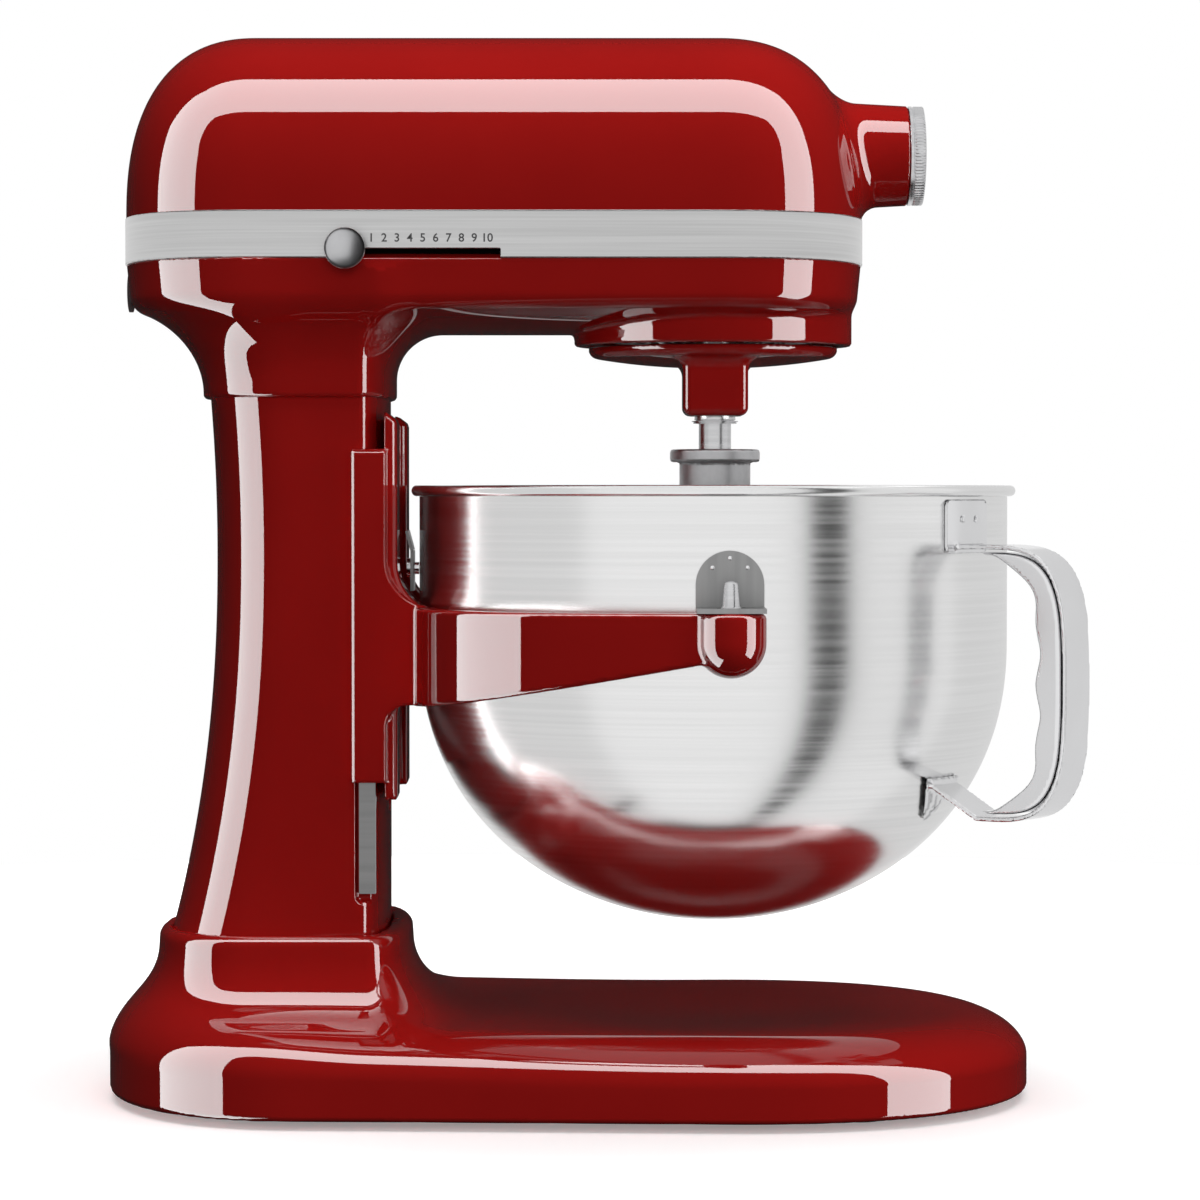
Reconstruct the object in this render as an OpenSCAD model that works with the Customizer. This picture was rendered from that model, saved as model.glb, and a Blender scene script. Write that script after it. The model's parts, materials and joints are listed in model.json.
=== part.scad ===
// Stand mixer with a bowl that is lifted on a yoke. Millimetres, +X front, +Z up.
// The origin is on the floor below the middle of the machine.

/* [Head] */
// Highest point of the motor housing above the floor
head_top = 419; // [415:0.5:423]
// Half width of the head at the trim band
head_half_w = 68; // [66:0.5:69]
// Rear end of the head at the trim band
head_rear = -182.7; // [-184:0.1:-182]
// Front end of the head at the trim band
head_front = 108.8; // [108:0.1:110]
// Wall thickness of the head castings
head_wall = 4; // [3.5:0.1:4.2]
// Lower edge of the trim band
band_z = 328.5; // [328:0.1:329]
// Height of the trim band
band_h = 18.5; // [18:0.1:19]

/* [Drive] */
// Distance of the beater shaft from the centre shaft
beater_offset = 29; // [29:29]
// Radius of the beater shaft
beater_shaft_r = 6.35; // [6.2:0.05:6.5]
// Running clearance between a shaft and its hole
run_gap = 0.05; // [0.03:0.01:0.08]
// Teeth on the fixed ring gear
ring_teeth = 42; // [42:42]
// Teeth on the pinion of the beater shaft
pinion_teeth = 13; // [13:13]
// Teeth on the gear of the centre shaft
centre_teeth = 36; // [36:36]
// Teeth on the idler pinion
idler_teeth = 21; // [21:21]
// Teeth on the worm wheel
wheel_teeth = 24; // [24:24]
// Teeth on each bevel gear
bevel_teeth = 12; // [12:12]

/* [Attachment hub] */
// Height of the hub's axis
hub_z = 373; // [372.5:0.1:373.5]
// Outer radius of the hub
hub_r = 19.6; // [19.4:0.1:19.8]
// Radius of the bore that takes an attachment
hub_bore_r = 16; // [15.5:0.1:16.2]

/* [Bowl] */
// Outer radius of the bowl's straight wall
bowl_r = 117; // [116.5:0.1:117.2]
// Height of the bowl's rim
bowl_rim_z = 242; // [241:0.5:243]
// Height of the bowl's bottom
bowl_bottom_z = 69; // [68.5:0.1:70]
// Thickness of the bowl's wall
bowl_wall = 1.4; // [1.2:0.1:1.6]

/* [Stand] */
// Front face of the column
column_front = -79; // [-79.2:0.1:-78.9]
// Half width of the column
column_half_w = 50; // [49.5:0.1:50]
// Half width of the base
base_half_w = 116; // [112:0.5:118]
// Front end of the base
base_front = 175; // [172:0.5:176]
// Rear end of the base
base_rear = -190; // [-191:0.5:-189]
// Height of the feet below the base casting
foot_h = 3; // [3:0.5:3.5]
// How far the yoke and the bowl travel down
lift_travel = 33.2; // [30:0.1:33.5]

/* [Hidden] */

$fn = 64;
eps = 0.01;
press_gap = 0.02;

// Head
band_top = band_z + band_h;
ridge_rear = -130;
ridge_front = 51.3;
ridge_half_w = 10;
profile_p = 2.4;
arch_p = 2.6;
end_p = 2.3;
rear_end_ratio = 0.85;
front_end_ratio = 0.92;
end_steps = 14;
arch_steps = 12;
band_depth = 1.6;
band_proud = 0.4;
slot_h = 3.7;
slot_rear = -97;
slot_front = -33;
pan_z = 302;
pan_floor_z = 306;
pan_corner_h = 14;
gland_z = 319;
gland_r = 6.6;

// Beater and bowl
bowl_p = 2.2;
bowl_bend_z = 180;
bracket_r = 12.7;
beater_gap = 5;
blade_w = 58;
blade_neck_w = 15;
blade_bottom_z = 83;
blade_top_z = 218;

// Planetary drive
drive_x = 50;
drive_module = 2;
boss_r = 55;
boss_z = 297;
boss_top_z = 316;
boss_bore_r = 50;
boss_bore_z = 311;
ring_z = 299.5;
ring_h = 10;
disc_r = 49.7;
disc_z = 288.7;
disc_top_z = boss_z - 0.3;
spindle_z = 269;
spindle_r = 12.7;
centre_shaft_r = 7;
centre_gear_z = 320;
centre_gear_h = 8;
plate_z = 332;
plate_h = 4;

// Idler and worm
idler_dist = drive_module * (centre_teeth + idler_teeth) / 2;
idler_y = 28;
idler_dx = sqrt(pow(idler_dist, 2) - pow(idler_y, 2));
idler_x = drive_x - idler_dx;
idler_angle = atan2(idler_y, -idler_dx);
idler_r = 5;
wheel_r = 20;
wheel_module = 2 * wheel_r / wheel_teeth;
worm_pitch = PI * wheel_module;
worm_r = idler_y - wheel_r;
motor_z = 360;
wheel_h = 6;

// Bevel pair
bevel_module = 3;
bevel_r = bevel_module * bevel_teeth / 2;
bevel_face = 8;
bevel_z = hub_z - bevel_r;

// Hub
hub_nose_x = 127.2;
hub_mouth_x = 132.4;
hub_spigot_r = 18;
hub_bore_x = 97.5;
hub_back_x = 72;
hub_shaft_r = 8;
cap_x = 134.4;
cap_r = 19.8;
knob_x = 116;

// Motor
field_rear = -118;
field_front = -62;
field_r = 42;
field_bore_r = 25;
armature_r = 24;
motor_shaft_r = 5;
brush_x = -136;

// Column and yoke
neck_z = 276;
neck_rear = -152.4;
neck_front = -76.5;
neck_half_w = 53;
column_z = 46;
column_top_z = 285;
duct_rear = -141;
duct_len = 50;
duct_half_w = 32;
neck_screw_x = [-130, -98];
neck_screw_y = [-41, 41];
base_screw_x = [-140, -96];
base_screw_y = [-26, 26];
waist_z = 216;
waist_rear = -147.2;
rail_x = -85.2;
rail_w = 6.4;
rail_in = 46;
rail_out = 49.6;
rail_z = 83.6;
rail_top_z = 252;
lever_x = -102;
lever_z = 159;
lever_shaft_r = 6;
crank_pin_r = 4;
crank_drop = lift_travel / 2;
crank_r = crank_drop / sin(45);
flange_in = column_half_w + 0.4;
flange_out = 56;
flange_rear = -91;
yoke_front = column_front + 5.5;
yoke_z = 127;
yoke_top_z = 256;
web_z = 120;
web_top_z = 272;
web_half_w = column_half_w + 2;
rib_in = 28;
arm_top_z = 195;
pod_x = 53;
pod_y = 130.5;
pod_r = 13;
arm_steps = 14;
root_h = 38;
root_front = -63;

// Base
slab_top = 36;
socket_top = 68;
dish_r = 1760;
dish_depth = 2.2;
foot_r = 10;
foot_places = [[-136, 50], [-136, -50], [104, 74], [104, -74], [144, 0]];

// Handle, set off to the side of the bowl
handle_angle = -36;
overall_half = 190;
grip_half_w = 10;
grip_out = (overall_half - drive_x - grip_half_w * sin(-handle_angle)) / cos(handle_angle);
grip_top_z = 222;
grip_bottom_z = 113;

function bend(t, p) = sign(t) * pow(abs(t), 2 / p);

function end_arc(z, x, length, w, p, from, steps) =
    [for (i = [0:steps]) let (t = from + 180 * i / steps)
        [x + length * bend(cos(t), p), w * bend(sin(t), p), z]];

// Level ring with straight sides and rounded ends, anticlockwise from above
function plan_ring(z, rear, front, w, rear_len, front_len, p = end_p, steps = end_steps) =
    concat(end_arc(z, front - front_len, front_len, w, p, -90, steps),
        end_arc(z, rear + rear_len, rear_len, w, p, 90, steps));

function flat(ring) = [for (point = ring) [point[0], point[1]]];

function arch(u, p) = sqrt(max(0, 1 - pow(u, p)));

// Closed solid through a stack of rings that all have the same number of points
module loft(rings) {
    n = len(rings[0]);
    last = len(rings) - 1;
    first_cap = [for (i = [0:n - 1]) i];
    last_cap = [for (i = [n - 1:-1:0]) last * n + i];
    sides = [for (j = [0:last - 1]) for (i = [0:n - 1])
        let (a = j * n + i, b = j * n + (i + 1) % n)
            each [[a, a + n, b + n], [a, b + n, b]]];
    polyhedron([for (ring = rings) each ring], concat([first_cap], sides, [last_cap]), convexity = 6);
}

module along_x(x, y, z) {
    translate([x, y, z]) rotate([0, 90, 0]) children();
}

module along_y(x, y, z) {
    translate([x, y, z]) rotate([-90, 0, 0]) children();
}

module tube(r_out, r_in, h) {
    difference() {
        cylinder(r = r_out, h = h);
        translate([0, 0, -1]) cylinder(r = r_in, h = h + 2);
    }
}

// Outline of a spur gear whose first tooth points along +X
function gear_points(teeth, m, grow = 0, wide = 0) =
    [for (k = [0:teeth - 1]) each tooth(teeth, m, k, grow, wide)];

// The four corners of tooth k; grow moves it outwards and wide adds to its half width, in pitches
function tooth(teeth, m, k, grow, wide) =
    let (r = m * teeth / 2, root = r - 1.1 * m + grow, tip = r + 0.8 * m + grow, pitch = 360 / teeth)
    [for (p = [[root, -0.28 - wide], [tip, -0.11 - wide], [tip, 0.11 + wide], [root, 0.28 + wide]])
        [p[0] * cos((k + p[1]) * pitch), p[0] * sin((k + p[1]) * pitch)]];

module spur(teeth, m, h, turn = 0) {
    rotate(turn) linear_extrude(h) polygon(gear_points(teeth, m));
}

// --- Stand ---

function base_ring(z, rear, front, w) =
    let (span = front - rear,
        ring = plan_ring(z, rear, front, w, w * 0.69, min(w * 1.05, span * 0.5), 2.2, 16))
    [for (p = ring) [p[0], p[1] * (1 - 0.14 * (front - p[0]) / (front - rear)), z]];

// The slab's rounded edge: a is the angle from the vertical side to the flat top
function slab_ring(a) =
    base_ring(20 + 16 * sin(a), base_rear + 11.3 * (1 - cos(a)), base_front - 34 * pow(1 - cos(a), 1.3),
        base_half_w - 30 * pow(1 - cos(a), 1.3));

// The column's socket on the slab: s goes from the foot of the slope to the lip
function socket_ring(s) =
    base_ring(slab_top + 0.2 + (socket_top - slab_top - 4) * s, -178.7 + 6 * pow(s, 0.6),
        -34 - 37 * pow(s, 0.62), 60 + 22 * pow(1 - s, 2.4));

module base() {
    color("firebrick")
    difference() {
        loft(concat(
            [base_ring(foot_h, base_rear + 3, base_front - 3, base_half_w - 3),
                base_ring(foot_h + 4, base_rear + 0.6, base_front - 0.6, base_half_w - 0.6),
                base_ring(14, base_rear, base_front, base_half_w)],
            [for (a = [0:15:90]) slab_ring(a)],
            [for (s = [0:0.125:1]) socket_ring(s)],
            [base_ring(socket_top - 1, -171, -72.5, 59), base_ring(socket_top, -167, -74.5, 56)]));
        intersection() {
            translate([drive_x, 0, slab_top + dish_r - dish_depth]) sphere(r = dish_r, $fn = 96);
            translate([drive_x, 0, slab_top - 8]) cylinder(r = 88, h = 12, $fn = 96);
        }
        translate([0, 0, column_z]) linear_extrude(30)
            polygon(flat(plan_ring(0, -165.4, column_front + 0.3, column_half_w + 3.4, 26, 12, 3)));
        difference() {
            translate([0, 0, foot_h - 1]) linear_extrude(23)
                polygon(flat(base_ring(0, base_rear + 12, base_front - 14, base_half_w - 13)));
            for (place = foot_places)
                translate([place[0], place[1], foot_h + 2]) cylinder(r = foot_r + 3, h = 30);
        }
        for (x = base_screw_x, y = base_screw_y) translate([x, y, 10]) cylinder(r = 3.3, h = 60);
    }
}

module feet() {
    color("black")
    for (place = foot_places) translate([place[0], place[1], 0]) {
        cylinder(r1 = foot_r - 1, r2 = foot_r, h = 3);
        translate([0, 0, 3]) cylinder(r = foot_r, h = foot_h - 1.1);
    }
}

module base_screws() {
    color("silver")
    for (x = base_screw_x, y = base_screw_y) translate([x, y, 20.9]) {
        cylinder(r = 6, h = 4);
        translate([0, 0, 4]) cylinder(r = 3, h = 31);
    }
}

function column_ring(z) =
    let (low = min(max(0, waist_z - z), waist_z - socket_top), high = max(0, z - waist_z),
        rear = waist_rear - 0.000294 * pow(low, 2.2) - 2.4 * pow(high / 60, 2))
    plan_ring(z, rear, column_front, column_half_w, 30, 12, 3, 10);

module column() {
    color("firebrick")
    difference() {
        loft([for (z = [column_z + 0.2:(column_top_z - column_z - 0.2) / 14:column_top_z + eps])
            column_ring(z)]);
        translate([duct_rear, -duct_half_w, column_z + 14]) cube([duct_len, 2 * duct_half_w, 300]);
        translate([-92, -7, 112]) cube([20, 14, 92]);
        for (side = [-1, 1]) translate([rail_x, side * (rail_in + 6), (rail_z + rail_top_z) / 2])
            cube([rail_w + 1.6, 12, rail_top_z - rail_z + 6], center = true);
        along_y(lever_x, 31, lever_z) cylinder(r = 9, h = 20);
        for (x = base_screw_x, y = base_screw_y) translate([x, y, column_z - 1]) cylinder(r = 3.05, h = 12);
        for (x = neck_screw_x, y = neck_screw_y) translate([x, y, 268]) cylinder(r = 2.55, h = 30);
    }
}

module guide_rails() {
    color("silver")
    for (side = [-1, 1]) translate([rail_x, side * (rail_in + rail_out) / 2, (rail_z + rail_top_z) / 2])
        cube([rail_w, rail_out - rail_in, rail_top_z - rail_z], center = true);
}

module neck_screws() {
    color("silver")
    for (x = neck_screw_x, y = neck_screw_y) translate([x, y, 270]) {
        cylinder(r = 2.5, h = 22);
        translate([0, 0, 22]) cylinder(r = 4.5, h = 4);
    }
}

// --- Head castings ---

// Head outline between the band's top, u = 0, and the ridge, u = 1, with the wall t taken off
function upper_ring(u, t) =
    let (a = arch(u, profile_p), w = ridge_half_w + (head_half_w - t - ridge_half_w) * arch(u, arch_p))
    plan_ring(band_top + (head_top - band_top - t) * u, ridge_rear - (ridge_rear - head_rear - t) * a,
        ridge_front + (head_front - t - ridge_front) * a, w, w * rear_end_ratio, w * front_end_ratio);

function band_ring(z, t) =
    let (w = head_half_w - t)
    plan_ring(z, head_rear + t, head_front - t, w, w * rear_end_ratio, w * front_end_ratio);

// Lower casting's outer ring; v goes from the underside, 0, to the straight side, 1
function lower_ring(v) =
    let (a = 1 - arch(1 - v, 2), w = head_half_w - 36 * a)
    plan_ring(pan_z + pan_corner_h * v, head_rear + 18 * a, head_front - 3 - 5 * a, w,
        w * rear_end_ratio, w * front_end_ratio);

// The neck widens as it rises into the head
function neck_ring(z) =
    let (s = pow(max(0, (z - neck_z - 3) / 25), 2.6))
    plan_ring(z, neck_rear - 14 * s, neck_front + 17 * s, neck_half_w + 9 * s, 30, 14, 3);

module head_lower() {
    color("firebrick")
    difference() {
        union() {
            loft(concat([for (v = [0:0.125:1]) lower_ring(v)],
                [band_ring(band_z, 0), band_ring(band_z, head_wall), band_ring(pan_floor_z + 8, head_wall),
                    band_ring(pan_floor_z, head_wall + 14)]));
            loft([for (z = [neck_z:2.9:305 + eps]) neck_ring(z)]);
            translate([drive_x, 0, boss_z]) cylinder(r = boss_r, h = boss_top_z - boss_z, $fn = 96);
        }
        translate([drive_x, 0, boss_z - 1]) cylinder(r = boss_bore_r, h = boss_bore_z - boss_z + 1, $fn = 96);
        translate([drive_x, 0, boss_z]) cylinder(r = 14, h = 30);
        translate([0, 0, neck_z - 1]) linear_extrude(column_top_z - neck_z + 1.3)
            polygon(flat(plan_ring(0, -150.6, column_front + 0.5, column_half_w + 0.5, 30, 12, 3, 10)));
        translate([duct_rear, -duct_half_w, neck_z]) cube([duct_len, 2 * duct_half_w, 40]);
        for (x = neck_screw_x, y = neck_screw_y) translate([x, y, neck_z]) {
            cylinder(r = 2.6, h = 50);
            translate([0, 0, 15.8]) cylinder(r = 4.6, h = 40);
        }
        along_x(head_rear - 5, 0, gland_z) cylinder(r = gland_r, h = 20);
        along_x(head_rear - 5, 0, gland_z) cylinder(r = gland_r + 1.6, h = 6.6);
        translate([idler_x, idler_y, boss_bore_z]) cylinder(r = 6.9, h = 20);
    }
}

module head_upper() {
    color("firebrick")
    difference() {
        union() {
            loft(concat(
                [for (j = [arch_steps:-1:0]) upper_ring(sin(90 * j / arch_steps), head_wall)],
                [band_ring(band_z + slot_h + 0.4, head_wall),
                    band_ring(band_z + slot_h + 0.4, band_depth + 0.1), band_ring(band_top, band_depth + 0.1)],
                [for (j = [0:arch_steps]) upper_ring(sin(90 * j / arch_steps), 0)]));
            along_x(hub_back_x, 0, hub_z) cylinder(r = hub_r, h = hub_nose_x - hub_back_x);
            along_x(hub_nose_x - 1, 0, hub_z) cylinder(r = hub_spigot_r, h = hub_mouth_x - hub_nose_x + 1);
            along_y(knob_x, hub_bore_r + 2, hub_z) cylinder(r = 7.5, h = 8);
        }
        along_x(hub_bore_x, 0, hub_z) cylinder(r = hub_bore_r, h = 60);
        along_x(hub_back_x - 1, 0, hub_z) cylinder(r = 13, h = 40);
        along_y(knob_x, 10, hub_z) cylinder(r = 4 + run_gap, h = 30);
    }
}

module trim_band() {
    color("silver")
    difference() {
        translate([0, 0, band_z]) linear_extrude(band_h) difference() {
            polygon(flat(band_ring(0, -band_proud)));
            polygon(flat(band_ring(0, band_depth)));
        }
        translate([slot_rear, -head_half_w - 5, band_z - 1]) cube([slot_front - slot_rear, 10, slot_h + 1]);
    }
}

module slot_liner() {
    color("black")
    translate([slot_rear - 4, -58.6, pan_floor_z + 12]) cube([slot_front - slot_rear + 8, 1.6, 18]);
}

module head_screws() {
    color("silver")
    for (place = [[-147, 36, pan_floor_z], [84, 30, boss_top_z]], side = [-1, 1])
        translate([place[0], side * place[1], place[2] + 0.2]) {
            cylinder(r = 4.5, h = 4);
            translate([0, 0, 4]) cylinder(r = 2.5, h = 28);
        }
}

module cord_gland() {
    color("black")
    along_x(head_rear + 0.1, 0, gland_z) {
        tube(gland_r + 1.5, 3.4, 1.4);
        translate([0, 0, 1.4]) tube(gland_r - 0.1, 3.4, 8);
    }
}

// --- Motor and gear train ---

module motor_field() {
    color("dimgray")
    along_x(field_rear, 0, motor_z) tube(field_r, field_bore_r, field_front - field_rear);
}

module field_coils() {
    color("peru")
    for (x = [field_rear - 9.2, field_front + 0.2]) along_x(x, 0, motor_z) tube(38, 27, 9);
}

module bracket_plate(x, y, width, foot_z, head_z) {
    difference() {
        translate([x, y, foot_z]) cube([7, width, head_z - foot_z]);
        along_x(x - 1, 0, motor_z) cylinder(r = motor_shaft_r + run_gap, h = 9);
    }
}

module front_bracket() {
    color("gray")
    bracket_plate(19, -30, 42, plate_z + plate_h + 0.1, motor_z + 12);
}

module rear_bracket() {
    color("gray")
    bracket_plate(-158, -26, 52, pan_floor_z + 0.5, motor_z + 14);
}

module brush_holders() {
    color("tan")
    for (side = [-1, 1]) translate([brush_x, side * 26, motor_z]) difference() {
        cube([12, 16, 12], center = true);
        cube([7.4, 20, 7.4], center = true);
    }
}

module carbon_brushes() {
    color("black")
    for (side = [-1, 1]) translate([brush_x, side * 23.4, motor_z]) cube([7, 18, 7], center = true);
}

module speed_board() {
    color("darkgreen")
    translate([-100, -36, pan_floor_z + 1]) cube([66, 60, 1.6]);
    color("dimgray")
    translate([-92, -20, pan_floor_z + 2.6]) cube([24, 20, 7]);
}

module gear_plate() {
    color("gray")
    difference() {
        translate([-26, -46, plate_z]) cube([110, 92, plate_h]);
        translate([drive_x, 0, plate_z - 1]) cylinder(r = centre_shaft_r + run_gap, h = plate_h + 2);
        translate([idler_x, idler_y, plate_z - 1]) cylinder(r = idler_r + run_gap, h = plate_h + 2);
        for (y = [-30, 30]) translate([84, y, plate_z - 1]) cylinder(r = 3, h = plate_h + 2);
    }
}

module ring_gear() {
    color("gray")
    translate([drive_x, 0, ring_z]) difference() {
        cylinder(r = boss_bore_r - 0.1, h = ring_h, $fn = 96);
        translate([0, 0, -1]) rotate(-90) linear_extrude(ring_h + 2)
            polygon(gear_points(ring_teeth, drive_module, 0.8, 0.06));
    }
}

module centre_bearing() {
    color("goldenrod")
    translate([drive_x, 0, boss_bore_z]) tube(13.9, centre_shaft_r + run_gap, 7.5);
}

module idler_bush() {
    color("goldenrod")
    translate([idler_x, idler_y, boss_bore_z + 0.2]) tube(6.8, idler_r + run_gap, 7.5);
}

module centre_shaft() {
    color("silver")
    translate([drive_x, 0, disc_z + 2]) cylinder(r = centre_shaft_r, h = bevel_z + bevel_face - disc_z - 2);
}

module centre_gear() {
    color("slategray")
    translate([drive_x, 0, centre_gear_z]) difference() {
        spur(centre_teeth, drive_module, centre_gear_h, idler_angle);
        translate([0, 0, -1]) cylinder(r = centre_shaft_r + press_gap, h = 20);
    }
}

module bevel_body(turn, bore_r) {
    difference() {
        rotate(turn) linear_extrude(bevel_face, scale = (bevel_r - bevel_face) / bevel_r)
            polygon(gear_points(bevel_teeth, bevel_module));
        translate([0, 0, -1]) cylinder(r = bore_r, h = 20);
    }
}

module bevel_gear() {
    color("slategray")
    translate([drive_x, 0, bevel_z]) bevel_body(0, centre_shaft_r + press_gap);
}

module rounded_square(width, r) {
    d = width / 2 - r;
    polygon([for (k = [0:3], a = [0:15:90])
        let (mid = [[d, d], [-d, d], [-d, -d], [d, -d]][k])
            [mid[0] + r * cos(a + 90 * k), mid[1] + r * sin(a + 90 * k)]]);
}

module planetary() {
    color("firebrick")
    difference() {
        translate([drive_x, 0, 0]) union() {
            rotate_extrude($fn = 96) union() {
                translate([0, disc_z]) square([disc_r - 4, 4]);
                translate([0, disc_z + 4]) square([disc_r, disc_top_z - disc_z - 4]);
                translate([disc_r - 4, disc_z + 4]) circle(r = 4);
            }
            translate([0, 0, disc_z]) cylinder(r = 12, h = boss_bore_z - 0.5 - disc_z);
            for (step = [[0, spindle_z], [0.8, disc_z - 4.4], [2.4, disc_z - 2]])
                translate([0, -beater_offset, step[1]]) linear_extrude(disc_z + 1 - step[1])
                    rounded_square(2 * (spindle_r + step[0]), 4 + step[0]);
        }
        translate([drive_x, -beater_offset, 260]) cylinder(r = beater_shaft_r + run_gap, h = 60);
        translate([drive_x, 0, disc_z + 2]) cylinder(r = centre_shaft_r + press_gap, h = 60);
    }
}

module beater_shaft() {
    color("silver")
    translate([drive_x, -beater_offset, 226]) cylinder(r = beater_shaft_r, h = 84.5);
}

module planet_pinion() {
    color("slategray")
    translate([drive_x, -beater_offset, ring_z]) difference() {
        spur(pinion_teeth, drive_module, ring_h, -90);
        translate([0, 0, -1]) cylinder(r = beater_shaft_r + press_gap, h = 20);
    }
}

module shaft_washer() {
    color("silver")
    translate([drive_x, -beater_offset, spindle_z - 3]) tube(9.2, beater_shaft_r + press_gap, 2.7);
}

module beater_pin() {
    color("silver")
    translate([drive_x, -beater_offset, 247]) for (side = [-1, 1])
        translate([side * (beater_shaft_r + 0.1 + 2.3), 0, 0]) rotate([0, 90, 0])
            cylinder(r = 2.3, h = 4.6, center = true);
}

// Inner radius of the bowl at height z
function bowl_inside(z) =
    (bowl_r - bowl_wall) * arch((bowl_bend_z - z) / (bowl_bend_z - bowl_bottom_z - bowl_wall), bowl_p);

// Half width of the flat beater at height z: it keeps a gap to the bowl all the way round
function blade_half_w(z) =
    z < bowl_bend_z ? min(blade_w, bowl_inside(z - beater_gap) - beater_offset - beater_gap)
        : blade_neck_w
            + (blade_w - blade_neck_w) * arch((z - bowl_bend_z) / (blade_top_z - bowl_bend_z), 2.4);

function blade_outline(from, to, steps) =
    let (rows = [for (i = [0:steps]) let (z = from + (to - from) * i / steps) [blade_half_w(z), z]])
    concat(rows, [for (i = [steps:-1:0]) [-rows[i][0], rows[i][1]]]);

module flat_beater() {
    color("silver")
    translate([drive_x, -beater_offset, 0]) difference() {
        union() {
            rotate([90, 0, 0]) linear_extrude(7, center = true) difference() {
                polygon(blade_outline(blade_bottom_z, blade_top_z, 28));
                for (side = [-1, 1]) polygon([
                    [side * 5, 104], [side * 26, 104], [side * 40, 126], [side * 5, 150]]);
                for (side = [-1, 1]) polygon([
                    [side * 5, 160], [side * 44, 135], [side * 47, 160], [side * 47, 176],
                    [side * 42, 196], [side * 14, 204], [side * 5, 196]]);
            }
            translate([0, 0, 204]) cylinder(r = 14, h = 48);
            translate([0, 0, 251]) cylinder(r = 17.6, h = 5);
        }
        translate([0, 0, 225]) cylinder(r = beater_shaft_r + 0.1, h = 40);
        translate([-11.5, -2.6, 244]) cube([23, 5.2, 20]);
    }
}

module idler_shaft() {
    color("silver")
    translate([idler_x, idler_y, boss_bore_z + 0.4]) cylinder(r = idler_r, h = motor_z + 6 - boss_bore_z);
}

module idler_pinion() {
    color("slategray")
    translate([idler_x, idler_y, centre_gear_z - 1]) difference() {
        spur(idler_teeth, drive_module, centre_gear_h + 2, idler_angle + 180 + 180 / idler_teeth);
        translate([0, 0, -1]) cylinder(r = idler_r + press_gap, h = 20);
    }
}

module worm_wheel() {
    color("goldenrod")
    translate([idler_x, idler_y, motor_z - wheel_h / 2]) difference() {
        spur(wheel_teeth, wheel_module, wheel_h, -90 + 180 / wheel_teeth);
        translate([0, 0, -1]) cylinder(r = idler_r + press_gap, h = 20);
    }
}

// Height of the worm's thread, from 0 in the groove to 1 on the crest
function thread(turns) =
    let (d = abs(turns - round(turns))) d < 0.1 ? 1 : d > 0.2 ? 0 : (0.2 - d) / 0.1;

function worm_ring(x, n) =
    [for (i = [0:n - 1]) let (a = 360 * i / n,
        r = worm_r - 1.9 + 3.1 * thread(x / worm_pitch - a / 360))
        [idler_x + x, r * cos(a), motor_z + r * sin(a)]];

module worm() {
    color("silver")
    difference() {
        loft([for (j = [-22:22]) worm_ring(j * worm_pitch / 10, 24)]);
        along_x(-30, 0, motor_z) cylinder(r = motor_shaft_r + press_gap, h = 60);
    }
}

module armature_shaft() {
    color("silver")
    along_x(-164, 0, motor_z) cylinder(r = motor_shaft_r, h = 190);
}

module armature_core() {
    color("dimgray")
    along_x(field_rear, 0, motor_z) tube(armature_r, motor_shaft_r + press_gap, field_front - field_rear);
}

module commutator() {
    color("peru")
    along_x(-142, 0, motor_z) tube(14, motor_shaft_r + press_gap, 12);
}

module cooling_fan() {
    color("dimgray")
    along_x(-48, 0, motor_z) {
        tube(34, motor_shaft_r + press_gap, 1.6);
        for (a = [0:30:330]) rotate(a) translate([12, -0.8, 1.5]) cube([21, 1.6, 7]);
    }
}

module hub_shaft() {
    color("silver")
    difference() {
        union() {
            along_x(58.5, 0, hub_z) cylinder(r = hub_shaft_r, h = 31);
            along_x(89, 0, hub_z) cylinder(r = 12, h = hub_bore_x - 0.5 - 89);
        }
        translate([91, -4.9, hub_z - 4.9]) cube([20, 9.8, 9.8]);
    }
}

module hub_pinion() {
    color("slategray")
    translate([drive_x + bevel_r, 0, hub_z]) rotate([0, -90, 0])
        bevel_body(180 / bevel_teeth, hub_shaft_r + press_gap);
}

module hub_bushing() {
    color("goldenrod")
    along_x(hub_back_x + 1, 0, hub_z) tube(12.9, hub_shaft_r + run_gap, 15.5);
}

module hub_cap() {
    color("silver")
    difference() {
        along_x(hub_nose_x + 0.2, 0, hub_z) cylinder(r = cap_r, h = cap_x - hub_nose_x - 0.2, $fn = 96);
        along_x(hub_nose_x - 1, 0, hub_z)
            cylinder(r = hub_spigot_r + run_gap, h = hub_mouth_x - hub_nose_x + 1.2);
    }
}

module attachment_knob() {
    color("black")
    along_y(knob_x, hub_bore_r + 0.6, hub_z) {
        cylinder(r = 4, h = 12);
        translate([0, 0, 10]) difference() {
            cylinder(r = 10, h = 11);
            for (a = [0:45:315]) rotate(a) translate([11.6, 0, -1]) cylinder(r = 3, h = 20, $fn = 24);
        }
    }
}

// --- Bowl lift ---

module lever_bush() {
    color("goldenrod")
    along_y(lever_x, 32.4, lever_z) tube(8.9, lever_shaft_r + run_gap, 18);
}

module lift_crank() {
    color("silver")
    translate([lever_x, 0, lever_z]) {
        along_y(0, 6, 0) cylinder(r = lever_shaft_r, h = 58);
        hull() for (place = [[0, 0, 9], [-crank_drop, crank_drop, 7]])
            along_y(place[0], 6, place[1]) cylinder(r = place[2], h = 6, $fn = 32);
        along_y(-crank_drop, -6, crank_drop) cylinder(r = crank_pin_r, h = 14);
    }
}

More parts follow.
